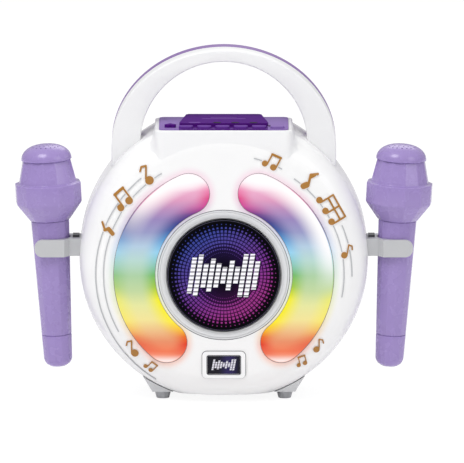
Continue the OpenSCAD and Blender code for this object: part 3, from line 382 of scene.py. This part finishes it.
# Key panel: a lavender plate in the housing's lip, with a raised purple plate, six purple
# keys in a row along its front edge and a small heart-shaped key on its left.
def calculator(tree):
    """Short names for a node tree's arithmetic: a sum of two values, and a soft step."""
    def calc(kind, first, second=None):
        node = tree.nodes.new("ShaderNodeMath")
        node.operation = kind
        for socket, value in zip(node.inputs, (first, second)):
            if isinstance(value, (int, float)):
                socket.default_value = value
            elif value is not None:
                tree.links.new(value, socket)
        return node.outputs[0]

    def soft_step(value, start, end):
        node = tree.nodes.new("ShaderNodeMapRange")
        node.interpolation_type = "SMOOTHSTEP"
        node.inputs["From Min"].default_value = start
        node.inputs["From Max"].default_value = end
        tree.links.new(value, node.inputs["Value"])
        return node.outputs["Result"]

    return calc, soft_step


def blended(tree, factor, first, second, kind="MIX"):
    """A mix of two colours, each given as a socket or as a plain colour."""
    node = tree.nodes.new("ShaderNodeMix")
    node.data_type, node.blend_type = "RGBA", kind
    for socket, value in (("Factor", factor), ("A", first), ("B", second)):
        if isinstance(value, (int, float, tuple)):
            node.inputs[socket].default_value = value
        else:
            tree.links.new(value, node.inputs[socket])
    return node.outputs["Result"]


def slab(name, outline, low, high, along="y"):
    """A plate of any outline: a disc's rim is drawn out to the outline, then extruded."""
    choose_nothing()
    bpy.ops.mesh.primitive_circle_add(vertices=len(outline), fill_type="NGON")
    piece = bpy.context.object
    piece.name = name
    for vertex, point in zip(piece.data.vertices, outline):
        if along == "y":
            vertex.co = (point[0] * MM, FRONT_Y + low * MM, DRUM_Z + point[1] * MM)
        else:
            vertex.co = (point[0] * MM, FRONT_Y + point[1] * MM, DRUM_Z + low * MM)
    step = (high - low) * MM
    bpy.ops.object.mode_set(mode="EDIT")
    bpy.ops.mesh.select_all(action="SELECT")
    bpy.ops.mesh.extrude_region_move(
        TRANSFORM_OT_translate={"value": (0, step, 0) if along == "y" else (0, 0, step)})
    bpy.ops.mesh.select_all(action="SELECT")
    bpy.ops.mesh.normals_make_consistent(inside=False)
    bpy.ops.object.mode_set(mode="OBJECT")
    return piece


PLATE_COLOUR = srgb(82, 26, 124)
PANEL_LAVENDER = plastic("panel lavender", srgb(139, 110, 178), 0.5, shine=0.1)
PANEL_PRINT = plastic("panel print", srgb(139, 110, 178), 0.5, shine=0.1)
PLATE_PURPLE = plastic("plate purple", PLATE_COLOUR, 0.5, shine=0.01)
KEY_PURPLE = plastic("key purple", srgb(104, 58, 150), 0.45, shine=0.03)
dress(PANEL_PRINT, "key_panel")
dress(PANEL_LAVENDER, "key_volume_up")
dress(PLATE_PURPLE, "key_plate", "heart_key")
dress(KEY_PURPLE, "key_light", "key_previous", "key_play", "key_next", "key_volume_down")

# The panel is printed purple round the first five keys, in line with the plate.
PRINT_LEFT, PRINT_RIGHT, PRINT_DEPTH = -0.0342, 0.0338, 0.0156
tree = PANEL_PRINT.node_tree
calc, _ = calculator(tree)
parts = tree.nodes.new("ShaderNodeSeparateXYZ")
tree.links.new(tree.nodes.new("ShaderNodeTexCoord").outputs["Object"], parts.inputs[0])
mask = calc("MULTIPLY", calc("MULTIPLY", calc("GREATER_THAN", parts.outputs["X"], PRINT_LEFT),
                             calc("LESS_THAN", parts.outputs["X"], PRINT_RIGHT)),
            calc("LESS_THAN", parts.outputs["Y"], FRONT_Y + PRINT_DEPTH))
colour_in = next(node for node in tree.nodes if node.type == "BSDF_PRINCIPLED").inputs["Base Color"]
tree.links.new(blended(tree, mask, colour_in.links[0].from_socket, PLATE_COLOUR), colour_in)

# Ovals behind the keys, and two plain bars on the plate: across, depth, width and length. The dark ovals
# are painted shade, set in the gaps between neighbouring keys.
OVAL_PAINTED_SHADE = plastic("oval painted shade", srgb(28, 10, 40), 0.5, shine=0.05)
OVAL_PALE = plastic("oval pale", srgb(104, 52, 146), 0.5, shine=0.05)
OVAL_ROUND, OVAL_RAISED, OVAL_THICK = 2.6, 0.01, 0.09
PANEL_LEVEL, PLATE_LEVEL = top + 0.8, top + 3.4
for name, level, (across, depth, width, length), paint in (
        ("oval_wide", PLATE_LEVEL, (-22.4, 18.4, 9.4, 5.0), OVAL_PALE),
        ("oval_first", PLATE_LEVEL, (-5.2, 18.4, 6.2, 5.2), OVAL_PAINTED_SHADE),
        ("oval_second", PLATE_LEVEL, (8.8, 18.4, 6.2, 5.2), OVAL_PAINTED_SHADE),
        ("oval_third", PLATE_LEVEL, (22.8, 18.4, 6.2, 5.2), OVAL_PAINTED_SHADE),
        ("oval_fourth", PANEL_LEVEL, (36.8, 18.4, 6.2, 5.2), OVAL_PAINTED_SHADE),
        ("name_bar_long", PLATE_LEVEL, (0.0, 36.0, 34.0, 3.0), OVAL_PALE),
        ("name_bar_short", PLATE_LEVEL, (0.0, 42.0, 20.0, 2.0), OVAL_PALE)):
    points, _ = rounded_rectangle(width, length, min(length / 2, OVAL_ROUND) - 0.05)
    oval = slab(name, [(across + p.x, depth + p.y) for p in points],
                level + OVAL_RAISED, level + OVAL_RAISED + OVAL_THICK, along="z")
    finish(oval, paint, "cabinet")


# Handle: a white front half and a lavender back half, screwed together. The bar is thin and
# its legs widen downwards, because the outer and the inner arch have different centres.
def arch(half_width, height, centre, steps=64):
    """The upper half of an ellipse, in millimetres about the drum's centre."""
    turns = [math.pi * i / steps for i in range(steps + 1)]
    return [Vector((half_width * math.cos(t), centre + height * math.sin(t))) for t in turns]


HANDLE_OUT, HANDLE_IN, HANDLE_FOOT = 86.4, 64, 58
HANDLE_FRONT, HANDLE_SEAM, HANDLE_BACK = 33, 53, 66
outer = arch(HANDLE_OUT, 76, 84)
inner = arch(HANDLE_IN, 63.4, 87.6)
handle_outline = [Vector((HANDLE_OUT, HANDLE_FOOT)), *outer, Vector((-HANDLE_OUT, HANDLE_FOOT)),
                  Vector((-HANDLE_IN, HANDLE_FOOT)), *inner[::-1], Vector((HANDLE_IN, HANDLE_FOOT))]
HANDLE_WHITE = plastic("handle white", srgb(238, 238, 239), 0.36)
HANDLE_LAVENDER = plastic("handle lavender", srgb(132, 100, 164), 0.4, shine=0.2)
front_half = slab("handle_front_half", handle_outline, HANDLE_FRONT, HANDLE_SEAM)
finish(front_half, HANDLE_WHITE, "cabinet", ["handle_front"], bevel=1.2 * MM, segments=4)
back_half = slab("handle_back_half", handle_outline, HANDLE_SEAM, HANDLE_BACK)
finish(back_half, HANDLE_LAVENDER, "cabinet", ["handle_back"], bevel=1.2 * MM, segments=4)


# Light lenses: frosted domes over strips of lamps, which change from pink at the top through
# blue, green and yellow to red at the bottom. Their rims carry the strongest colour.
LENS_MIDDLE, LENS_HALF, LENS_RISE = 68.6, 15.7, 4.5
LENS_TOP, LENS_LOW = 22.9, 39.9
dome_radius = (LENS_HALF ** 2 + LENS_RISE ** 2) / (2 * LENS_RISE)


def lens_ring(side, half, height, arc_steps=56, end_steps=16):
    """The lens's outline at half its width and at one height in front of the drum's face."""
    def clock(turn):
        return Vector((math.sin(turn), math.cos(turn)))

    first, last = math.radians(LENS_TOP), math.radians(180 - LENS_LOW)
    turns = [first + (last - first) * i / arc_steps for i in range(arc_steps + 1)]
    round_end = [math.pi * i / end_steps for i in range(1, end_steps)]
    points = [(LENS_MIDDLE + half) * clock(turn) for turn in turns]
    points += [LENS_MIDDLE * clock(last) + half * clock(last + more) for more in round_end]
    points += [(LENS_MIDDLE - half) * clock(turn) for turn in turns[::-1]]
    points += [LENS_MIDDLE * clock(first) + half * clock(first + math.pi + more) for more in round_end]
    return [Vector((side * p.x * MM, FRONT_Y - height * MM, TRAY_Z + p.y * MM)) for p in points]


def colour_ramp(tree, value, stops, low=0.0, high=1.0):
    """Colours along a value: stops are a place between low and high, and the colour there."""
    ramp = tree.nodes.new("ShaderNodeValToRGB")
    points = ramp.color_ramp.elements
    while len(points) < len(stops):
        points.new(0.5)
    for point, (where, colour) in zip(points, stops):
        point.position = (where - low) / (high - low)
        point.color = srgb(*colour)
    tree.links.new(value, ramp.inputs["Fac"])
    return ramp.outputs["Color"]


def tray_place(tree):
    """Millimetres to the right of the tray's centre and above it, and from it."""
    calc, _ = calculator(tree)
    place = tree.nodes.new("ShaderNodeTexCoord")
    shift = tree.nodes.new("ShaderNodeMapping")
    shift.inputs["Scale"].default_value = (1000, 1000, 1000)
    shift.inputs["Location"].default_value = (0, 0, -TRAY_Z * 1000)
    tree.links.new(place.outputs["Object"], shift.inputs["Vector"])
    parts = tree.nodes.new("ShaderNodeSeparateXYZ")
    tree.links.new(shift.outputs[0], parts.inputs[0])
    right, up = parts.outputs["X"], parts.outputs["Z"]
    out_from = calc("SQRT", calc("ADD", calc("MULTIPLY", right, right), calc("MULTIPLY", up, up)))
    return right, up, out_from


def lens_glow(name):
    """Frosted plastic that glows in colours by height, deeper at its rim, with a painted highlight in
    white across its outer shoulder."""
    material, tree, out = new_material(name)
    calc, soft_step = calculator(tree)
    right, up, out_from = tray_place(tree)
    level = calc("DIVIDE", calc("ADD", up, 76), 152)
    middle = colour_ramp(tree, level, (
        (-70, (255, 244, 240)), (-65, (250, 176, 146)), (-59, (243, 124, 84)), (-51, (232, 142, 100)),
        (-44, (236, 182, 128)), (-34, (241, 226, 150)), (-23, (228, 229, 158)), (-12, (192, 214, 158)),
        (0, (170, 206, 162)), (12, (182, 215, 207)), (23, (178, 203, 224)), (34, (150, 152, 196)),
        (44, (150, 132, 186)), (52, (184, 140, 187)), (59, (222, 154, 191)), (65, (235, 172, 203)),
        (70, (252, 232, 241)), (73, (255, 252, 253))), -76, 76)
    rim_colour = colour_ramp(tree, level, (
        (-72, (250, 214, 200)), (-64, (238, 122, 88)), (-54, (226, 46, 8)), (-48, (234, 104, 14)),
        (-43, (246, 186, 20)), (-36, (252, 234, 30)), (-19, (244, 236, 20)), (-9, (156, 198, 54)),
        (0, (106, 182, 94)), (9, (136, 198, 190)), (18, (146, 208, 240)), (27, (84, 152, 208)),
        (35, (36, 80, 156)), (41, (46, 48, 132)), (47, (98, 50, 132)), (54, (206, 66, 148)),
        (60, (222, 66, 134)), (66, (236, 132, 176)), (73, (252, 226, 236))), -76, 76)
    rim = tree.nodes.new("ShaderNodeAttribute")
    rim.attribute_name = "rim"
    edge = rim.outputs["Fac"]
    deep = calc("MULTIPLY", soft_step(edge, 0.2, 1.08),
                calc("SUBTRACT", 1, calc("MULTIPLY", soft_step(out_from, 69, 80), 0.45)))
    body = blended(tree, deep, middle, rim_colour)
    # Painted highlight: white across the outer upper shoulder, reaching lower on the right lens, in both
    # the base and the glow colour.
    leaning = calc("ADD", up, calc("MULTIPLY", right, 0.3))
    shoulder = calc("MULTIPLY", soft_step(out_from, 69, 83), soft_step(leaning, 4, 52))
    shoulder = calc("POWER", shoulder, 0.7)
    inner_line = calc("SUBTRACT", 1, soft_step(edge, 0.94, 1.0))
    foot = calc("MULTIPLY", calc("SUBTRACT", 1, soft_step(up, -68, -61)), 0.7)
    pale = calc("MULTIPLY", calc("MAXIMUM", shoulder, foot), inner_line)
    lit = blended(tree, pale, body, srgb(255, 253, 253))
    grain = tree.nodes.new("ShaderNodeTexNoise")
    grain.inputs["Scale"].default_value = 900
    place = tree.nodes.new("ShaderNodeTexCoord")
    tree.links.new(place.outputs["Object"], grain.inputs["Vector"])
    bump = tree.nodes.new("ShaderNodeBump")
    bump.inputs["Distance"].default_value = 0.00005
    bump.inputs["Strength"].default_value = 0.05
    tree.links.new(grain.outputs["Fac"], bump.inputs["Height"])
    shader = tree.nodes.new("ShaderNodeBsdfPrincipled")
    tree.links.new(blended(tree, 1.0, lit, (0.1, 0.1, 0.1, 1), "MULTIPLY"), shader.inputs["Base Color"])
    tree.links.new(lit, shader.inputs["Emission Color"])
    tree.links.new(bump.outputs["Normal"], shader.inputs["Normal"])
    shader.inputs["Emission Strength"].default_value = 0.92
    shader.inputs["Roughness"].default_value = 0.3
    shader.inputs["Specular IOR Level"].default_value = 0.25
    shader.inputs["Coat Weight"].default_value = 0.1
    shader.inputs["Coat Roughness"].default_value = 0.12
    tree.links.new(shader.outputs[0], out.inputs["Surface"])
    return material


LENS_LIT = lens_glow("lit lens")
LENS_LINE = plastic("lens line", srgb(120, 108, 112), 0.6)


def white_with_painted_lens_glow(name, colour, roughness, coat):
    """White plastic with a painted glow: the lenses' colours are painted into it close to them."""
    material = plastic(name, colour, roughness, coat=coat)
    tree = material.node_tree
    calc, soft_step = calculator(tree)
    right, up, _ = tray_place(tree)
    aside = calc("ABSOLUTE", right)
    turn = calc("ARCTAN2", aside, up)
    turn = calc("MINIMUM", calc("MAXIMUM", turn, math.radians(LENS_TOP)), math.radians(180 - LENS_LOW))
    off_x = calc("SUBTRACT", aside, calc("MULTIPLY", calc("SINE", turn), LENS_MIDDLE))
    off_z = calc("SUBTRACT", up, calc("MULTIPLY", calc("COSINE", turn), LENS_MIDDLE))
    away = calc("SQRT", calc("ADD", calc("MULTIPLY", off_x, off_x), calc("MULTIPLY", off_z, off_z)))
    away = calc("SUBTRACT", away, LENS_HALF)
    # Painted lens glow: the shell's colour is tinted with the lens colours, most strongly right next to the
    # lenses.
    near = calc("POWER", calc("SUBTRACT", 1, soft_step(away, 0.0, 9.0)), 2.0)
    painted_glow_tint = colour_ramp(tree, calc("DIVIDE", calc("ADD", up, 80), 160), (
        (-70, (255, 150, 90)), (-56, (252, 132, 66)), (-44, (250, 196, 70)), (-30, (246, 236, 110)),
        (-10, (196, 226, 140)), (8, (160, 214, 196)), (20, (150, 200, 240)), (34, (124, 130, 206)),
        (46, (176, 120, 190)), (58, (240, 150, 196)), (72, (252, 190, 220))), -80, 80)
    shader = next(node for node in tree.nodes if node.type == "BSDF_PRINCIPLED")
    socket = shader.inputs["Base Color"]
    plain = socket.links[0].from_socket
    tree.links.new(blended(tree, calc("MULTIPLY", near, 0.42), plain, painted_glow_tint, "MULTIPLY"), socket)
    return material


dress(white_with_painted_lens_glow("front shell white with painted lens glow", srgb(245, 245, 245), 0.26, 0.12), "front_shell")
for side, body_name in ((-1, "left"), (1, "right")):
    levels = [(LENS_HALF - 2, -2.0), (LENS_HALF - 2, -9), (LENS_HALF, -9), (LENS_HALF, -5.0),
              (LENS_HALF + 1.4, -5.0), (LENS_HALF + 1.4, -3.6), (LENS_HALF, -3.6), (LENS_HALF, -0.3)]
    for step in range(15):
        half = LENS_HALF * (1 - (step / 14) ** 1.4) if step < 14 else 0.25
        levels.append((half, LENS_RISE - dome_radius + math.sqrt(dome_radius ** 2 - half ** 2)))
    piece = wrapped(f"lens_{body_name}_dome", [lens_ring(side, half, height) for half, height in levels])
    attribute = piece.data.attributes.new("rim", "FLOAT", "POINT")
    for vertex in piece.data.vertices:
        ahead = FRONT_Y - vertex.co.y + (dome_radius - LENS_RISE) * MM
        inside = max(0.0, (dome_radius * MM) ** 2 - ahead ** 2)
        attribute.data[vertex.index].value = min(1.0, math.sqrt(inside) / (LENS_HALF * MM))
    finish(piece, LENS_LIT, "cabinet", [f"lens_{body_name}"])
    rings = [lens_ring(side, LENS_HALF + wider, height)
             for wider, height in ((0.06, -0.6), (0.06, 0.06), (0.42, 0.06), (0.42, -0.6))]
    line = wrapped(f"lens_{body_name}_line", [*rings, rings[0]], (False, False))
    finish(line, LENS_LINE, "cabinet")


# Disc tray: a satin grey ring that slopes in to the well for the disc, with a dark ring round it
# that is painted shade in the gap between tray and shell. The disc is a black plate on a hub that
# turns, printed with a level meter amid rings of square dots.
TRAY_GREY = plastic("tray grey", srgb(224, 225, 227), 0.34)
dress(TRAY_GREY, "disc_tray")
HUB_GREY = plastic("hub grey", srgb(92, 93, 97), 0.5)
dress(HUB_GREY, "spindle_hub")
# Dark lines: painted shade in the gaps round the tray and round the display frame, and the line round the
# window.
DARK_LINE_AND_GAP_SHADE = plastic("dark line and painted gap shade", srgb(84, 84, 90), 0.6)


def lathed(name, profile, steps=192):
    """A shape turned about the tray's axis. The profile is radius and height out of the face."""
    rings = [[Vector((radius * MM * math.sin(2 * math.pi * i / steps), FRONT_Y - height * MM,
                      TRAY_Z + radius * MM * math.cos(2 * math.pi * i / steps))) for i in range(steps)]
             for radius, height in profile]
    return wrapped(name, [*rings, rings[0]], (False, False))


# Painted shade: a dark ring in the gap round the tray.
gap_shade_ring = lathed("tray_gap_shade", [(50.32, -0.3), (50.32, 0.1), (50.78, 0.1), (50.78, -0.3)])
finish(gap_shade_ring, DARK_LINE_AND_GAP_SHADE, "cabinet")
slope = lathed("tray_slope", [
    (44.55, -1.4), (44.55, -0.5), (45.2, 0.05), (48.6, 0.4), (48.9, 0.1), (48.9, -0.2)])
finish(slope, TRAY_GREY, "cabinet")


def level_bars(tree, right, up, pitch, tallest, reach, lean, block):
    """A level meter: leaning bars of blocks, each bar as tall as a random number says."""
    calc, _ = calculator(tree)
    leaning = calc("DIVIDE", calc("ADD", right, calc("MULTIPLY", up, -lean)), pitch)
    index = calc("ROUND", leaning)
    chance = tree.nodes.new("ShaderNodeTexWhiteNoise")
    chance.noise_dimensions = "1D"
    tree.links.new(calc("ADD", index, 11.3), chance.inputs["W"])
    tall = calc("MULTIPLY", calc("ADD", calc("MULTIPLY", chance.outputs["Value"], 0.72), 0.28), tallest)
    wide = calc("LESS_THAN", calc("ABSOLUTE", calc("SUBTRACT", leaning, index)), 0.36)
    low = calc("LESS_THAN", calc("ABSOLUTE", up), tall)
    blocks = calc("LESS_THAN", calc("FRACT", calc("DIVIDE", calc("ADD", up, 100 * block), block)), 0.76)
    near = calc("LESS_THAN", calc("ABSOLUTE", index), reach)
    return calc("MULTIPLY", calc("MULTIPLY", wide, low), calc("MULTIPLY", blocks, near))


def disc_print():
    """The printed face: everything is worked out from the place on the disc."""
    material, tree, out = new_material("disc print")
    calc, soft_step = calculator(tree)
    right, up, out_from = tray_place(tree)
    turn = calc("DIVIDE", calc("ARCTAN2", right, up), 2 * math.pi)
    glow = calc("MULTIPLY", soft_step(out_from, 4, 24), calc("SUBTRACT", 1, soft_step(out_from, 27, 41)))
    tone = calc("ADD", calc("DIVIDE", calc("SUBTRACT", calc("MULTIPLY", right, 0.7), up), 100), 0.5)
    bright = colour_ramp(tree, tone, (
        (0.1, (62, 74, 160)), (0.38, (92, 66, 152)), (0.6, (122, 54, 146)), (0.85, (158, 56, 138))))
    haze = colour_ramp(tree, tone, (
        (0.1, (16, 18, 52)), (0.5, (36, 16, 62)), (0.85, (58, 14, 56))))
    base = blended(tree, glow, srgb(4, 4, 8), haze)
    around = calc("MULTIPLY", turn, 72)
    ring = calc("DIVIDE", out_from, 2.75)
    size = calc("MULTIPLY", calc("MULTIPLY", soft_step(out_from, 13, 29),
                                 calc("SUBTRACT", 1, soft_step(out_from, 33, 44.5))), 0.36)
    off_side = calc("ABSOLUTE", calc("SUBTRACT", calc("FRACT", calc("ADD", around, 200)), 0.5))
    off_side = calc("MULTIPLY", off_side, calc("DIVIDE", out_from, 31.5))
    off_ring = calc("ABSOLUTE", calc("SUBTRACT", calc("FRACT", ring), 0.5))
    dots = calc("LESS_THAN", calc("MAXIMUM", off_side, off_ring), size)
    face = blended(tree, calc("MULTIPLY", dots, 0.9), base, bright)
    shade = level_bars(tree, calc("SUBTRACT", right, 0.9), calc("ADD", up, 0.9), 4.9, 17.5, 5.5, 0.16, 3.1)
    face = blended(tree, shade, face, srgb(20, 14, 40))
    bars = level_bars(tree, right, up, 4.9, 17.5, 5.5, 0.16, 3.1)
    face = blended(tree, bars, face, srgb(246, 245, 250))
    rim = calc("MULTIPLY", calc("GREATER_THAN", out_from, 42.6), calc("LESS_THAN", out_from, 42.9))
    face = blended(tree, calc("MULTIPLY", rim, 0.5), face, srgb(120, 116, 140))
    shader = tree.nodes.new("ShaderNodeBsdfPrincipled")
    tree.links.new(face, shader.inputs["Base Color"])
    shader.inputs["Roughness"].default_value = 0.42
    shader.inputs["Specular IOR Level"].default_value = 0.03
    tree.links.new(shader.outputs[0], out.inputs["Surface"])
    return material


dress(disc_print(), "disc")


# Display: a glossy white frame with a dark line round it, painted shade in the gap round the frame,
# a black window that shows a small level meter, and its board behind.
dress(plastic("display frame white", srgb(246, 246, 247), 0.25, coat=0.3), "display_bezel")
BEZEL_Z = TRAY_Z - 0.070


def frame_ring(width, height, radius, out_of_face):
    """One level of a line round the display."""
    points, _ = rounded_rectangle(width, height, radius)
    return [Vector((p.x * MM, FRONT_Y - out_of_face * MM, BEZEL_Z + p.y * MM)) for p in points]


# The outer line is painted shade in the gap round the frame; the inner one is a dark line round the window.
for name, (width, height, corner), thick, (low, high) in (
        ("display_gap_shade", (33.2, 20.9, 3.5), 0.4, (-0.2, 0.12)),
        ("window_line", (25.4, 14.4, 1.2), 0.6, (1.78, 1.9))):
    inside, outside = (width, height, corner), (width + 2 * thick, height + 2 * thick, corner + thick)
    levels = [frame_ring(*inside, low), frame_ring(*inside, high),
              frame_ring(*outside, high), frame_ring(*outside, low)]
    finish(wrapped(name, [*levels, levels[0]], (False, False)), DARK_LINE_AND_GAP_SHADE, "cabinet")

window, tree, out = new_material("window with level meter")
calc, soft_step = calculator(tree)
right, up, _ = tray_place(tree)
meter = level_bars(tree, right, calc("ADD", up, 70), 2.0, 4.6, 4.5, 0.2, 1.3)
shader = tree.nodes.new("ShaderNodeBsdfPrincipled")
glow = soft_step(calc("ABSOLUTE", calc("SUBTRACT", right, 4)), 9, 0)
screen = blended(tree, calc("MULTIPLY", glow, 0.8), srgb(14, 12, 26), srgb(44, 34, 92))
tree.links.new(blended(tree, meter, screen, srgb(236, 234, 244)), shader.inputs["Base Color"])
shader.inputs["Roughness"].default_value = 0.2
shader.inputs["Specular IOR Level"].default_value = 0.2
tree.links.new(shader.outputs[0], out.inputs["Surface"])
dress(window, "display_window")


# Microphone clips: grey arms with two fingers each, and a small dark lock on each arm.
dress(plastic("clip grey", srgb(190, 191, 193), 0.36), "clip_left", "clip_right")
dress(plastic("lock dark", srgb(62, 62, 66), 0.45), "clip_locks")


# Microphones: lavender plastic with twelve flat sides and soft edges, a domed grille with
# small holes and a screwed end cap. Heights run along the microphone's own axis, from the clip.
MIC_LAVENDER = plastic("microphone lavender", srgb(153, 132, 192), 0.27, grain=1100, depth=0.02, coat=0.3)
MIC_X, MIC_DEPTH, CLIP_UP, MIC_LEAN, MIC_TURN = 132.7, 33.0, 8.7, 3.1, 9.3
CAP_SEAM, HEAD_SEAM = -69.8, 19.5


def mic_axes(side):
    """Turns a place about the microphone's axis into a place in the scene."""
    place = Matrix.Translation((side * MIC_X * MM, FRONT_Y + MIC_DEPTH * MM, DRUM_Z + CLIP_UP * MM))
    return place @ Matrix.Rotation(math.radians(side * MIC_LEAN), 4, "Y") \
        @ Matrix.Rotation(math.radians(side * MIC_TURN), 4, "Z") @ Matrix.Scale(MM, 4)


def mic_shape(name, side, levels, corners=12):
    """A stack of levels, each a height and the radius of its corners."""
    axes = mic_axes(side)
    turns = [2 * math.pi * i / corners for i in range(corners)]
    return wrapped(name, [
        [axes @ Vector((radius * math.cos(t), radius * math.sin(t), height)) for t in turns]
        for height, radius in levels])


def dome(name, side, base, radius, height, wall, steps=16, corners=96):
    """The hollow dome of the grille."""
    def outline(inward):
        return [(base + (height - inward) * math.sin(math.pi / 2 * i / steps),
                 (radius - inward) * max(0.01, math.cos(math.pi / 2 * i / steps)) ** 0.8)
                for i in range(steps + 1)]
    skin = outline(0) + outline(wall)[::-1]
    axes = mic_axes(side)
    turns = [2 * math.pi * i / corners for i in range(corners)]
    rings = [[axes @ Vector((r * math.cos(t), r * math.sin(t), h)) for t in turns] for h, r in skin]
    return wrapped(name, [*rings, rings[0]], (False, False))


CAP_LEVELS = ((-25, 6.0), (-23, 9.0), (-21, 10.4), (-19, 11.1), (-0.35, 11.8), (-0.3, 11.2), (3.5, 9.0))
HEAD_LEVELS = ((0.1, 14.6), (0.3, 15.6), (14, 25.8), (29.3, 25.8), (29.6, 22.6), (47.6, 18.6), (47.6, 15.0))
GRILLE_FOOT, GRILLE_RADIUS, GRILLE_HEIGHT, GRILLE_WALL = HEAD_SEAM + 47.6, 19.4, 11.5, 1.8
HOLE_RADIUS, HOLE_PITCH, HOLE_RINGS = 0.62, 3.6, 3
PARTS = (
    ("cap", [(CAP_SEAM + up, radius) for up, radius in CAP_LEVELS], 0.35, 2),
    ("barrel", [(CAP_SEAM, 11.0), (CAP_SEAM + 0.1, 11.8), (HEAD_SEAM, 15.0), (HEAD_SEAM + 0.05, 12.0),
                (HEAD_SEAM + 4, 11.4)], 0.5, 2),
    ("head", [(HEAD_SEAM + up, radius) for up, radius in HEAD_LEVELS], 0.9, 3))
for side, word in ((-1, "left"), (1, "right")):
    for part, levels, bevel, segments in PARTS:
        finish(mic_shape(f"mic_{word}_{part}_skin", side, levels), MIC_LAVENDER, "mic_" + word,
               [f"mic_{word}_{part}"], bevel=bevel * MM, segments=segments, crease=20)
    grille = dome(f"mic_{word}_grille_skin", side, GRILLE_FOOT, GRILLE_RADIUS, GRILLE_HEIGHT, GRILLE_WALL)
    choose_nothing()
    axes = mic_axes(side)
    drills = []
    for ring in range(1, HOLE_RINGS + 1):
        for hole in range(6 * ring):
            turn = 2 * math.pi * hole / (6 * ring)
            reach = HOLE_PITCH * ring
            spot = axes @ Vector((reach * math.cos(turn), reach * math.sin(turn), HEAD_SEAM + 56))
            bpy.ops.mesh.primitive_cylinder_add(
                vertices=12, radius=HOLE_RADIUS * MM, depth=12 * MM, location=spot,
                rotation=(0, math.radians(side * MIC_LEAN), 0))
            drills.append(bpy.context.object)
    choose_nothing()
    for drill in drills:
        drill.select_set(True)
    bpy.context.view_layer.objects.active = drills[0]
    bpy.ops.object.join()
    tool = bpy.context.object
    choose_nothing()
    grille.select_set(True)
    bpy.context.view_layer.objects.active = grille
    cutter = grille.modifiers.new("holes", "BOOLEAN")
    cutter.object = tool
    cutter.operation = "DIFFERENCE"
    cutter.solver = "EXACT"
    bpy.ops.object.modifier_apply(modifier=cutter.name)
    bpy.data.objects.remove(tool)
    finish(grille, MIC_LAVENDER, "mic_" + word, [f"mic_{word}_grille"])


# Feet: two grey brackets under the drum, with two soft pads each.
dress(plastic("bracket grey", srgb(214, 215, 217), 0.45), "foot_brackets")
dress(plastic("pad grey", srgb(188, 189, 192), 0.7), "foot_pads")


# Back: speaker behind its grille, battery door, charging socket and power slider.
dress(plastic("speaker black", srgb(34, 34, 36), 0.7), "speaker")
dress(plastic("grille white", srgb(228, 228, 230), 0.4), "speaker_grille")
dress(plastic("door white", srgb(236, 236, 238), 0.35), "battery_door")
dress(plastic("port dark", srgb(40, 40, 43), 0.5), "charge_port", "power_slider")


# Inside: green boards, white lamp boards, cells in blue sleeves, and plated steel parts.
dress(plastic("board green", srgb(28, 110, 66), 0.5), "key_board", "display_board", "main_board")
dress(plastic("lamp board white", srgb(236, 236, 232), 0.5), "led_board_left", "led_board_right")
dress(plastic("cell blue", srgb(52, 104, 168), 0.4), "battery_cell", "mic_left_cell", "mic_right_cell")
STEEL, tree, out = new_material("plated steel")
shader = tree.nodes.new("ShaderNodeBsdfPrincipled")
shader.inputs["Metallic"].default_value = 1.0
effect = tree.nodes.new("ShaderNodeGroup")
effect.node_tree = MOULDED
effect.inputs["Colour"].default_value = srgb(196, 197, 200)
effect.inputs["Roughness"].default_value = 0.3
effect.inputs["Grain per metre"].default_value = 3000
effect.inputs["Grain depth"].default_value = 0.1
tree.links.new(effect.outputs["Colour"], shader.inputs["Base Color"])
tree.links.new(effect.outputs["Roughness"], shader.inputs["Roughness"])
tree.links.new(effect.outputs["Normal"], shader.inputs["Normal"])
tree.links.new(shader.outputs[0], out.inputs["Surface"])
dress(STEEL, "spindle_motor", "mic_left_capsule", "mic_right_capsule", "battery_contacts", "shell_screws")
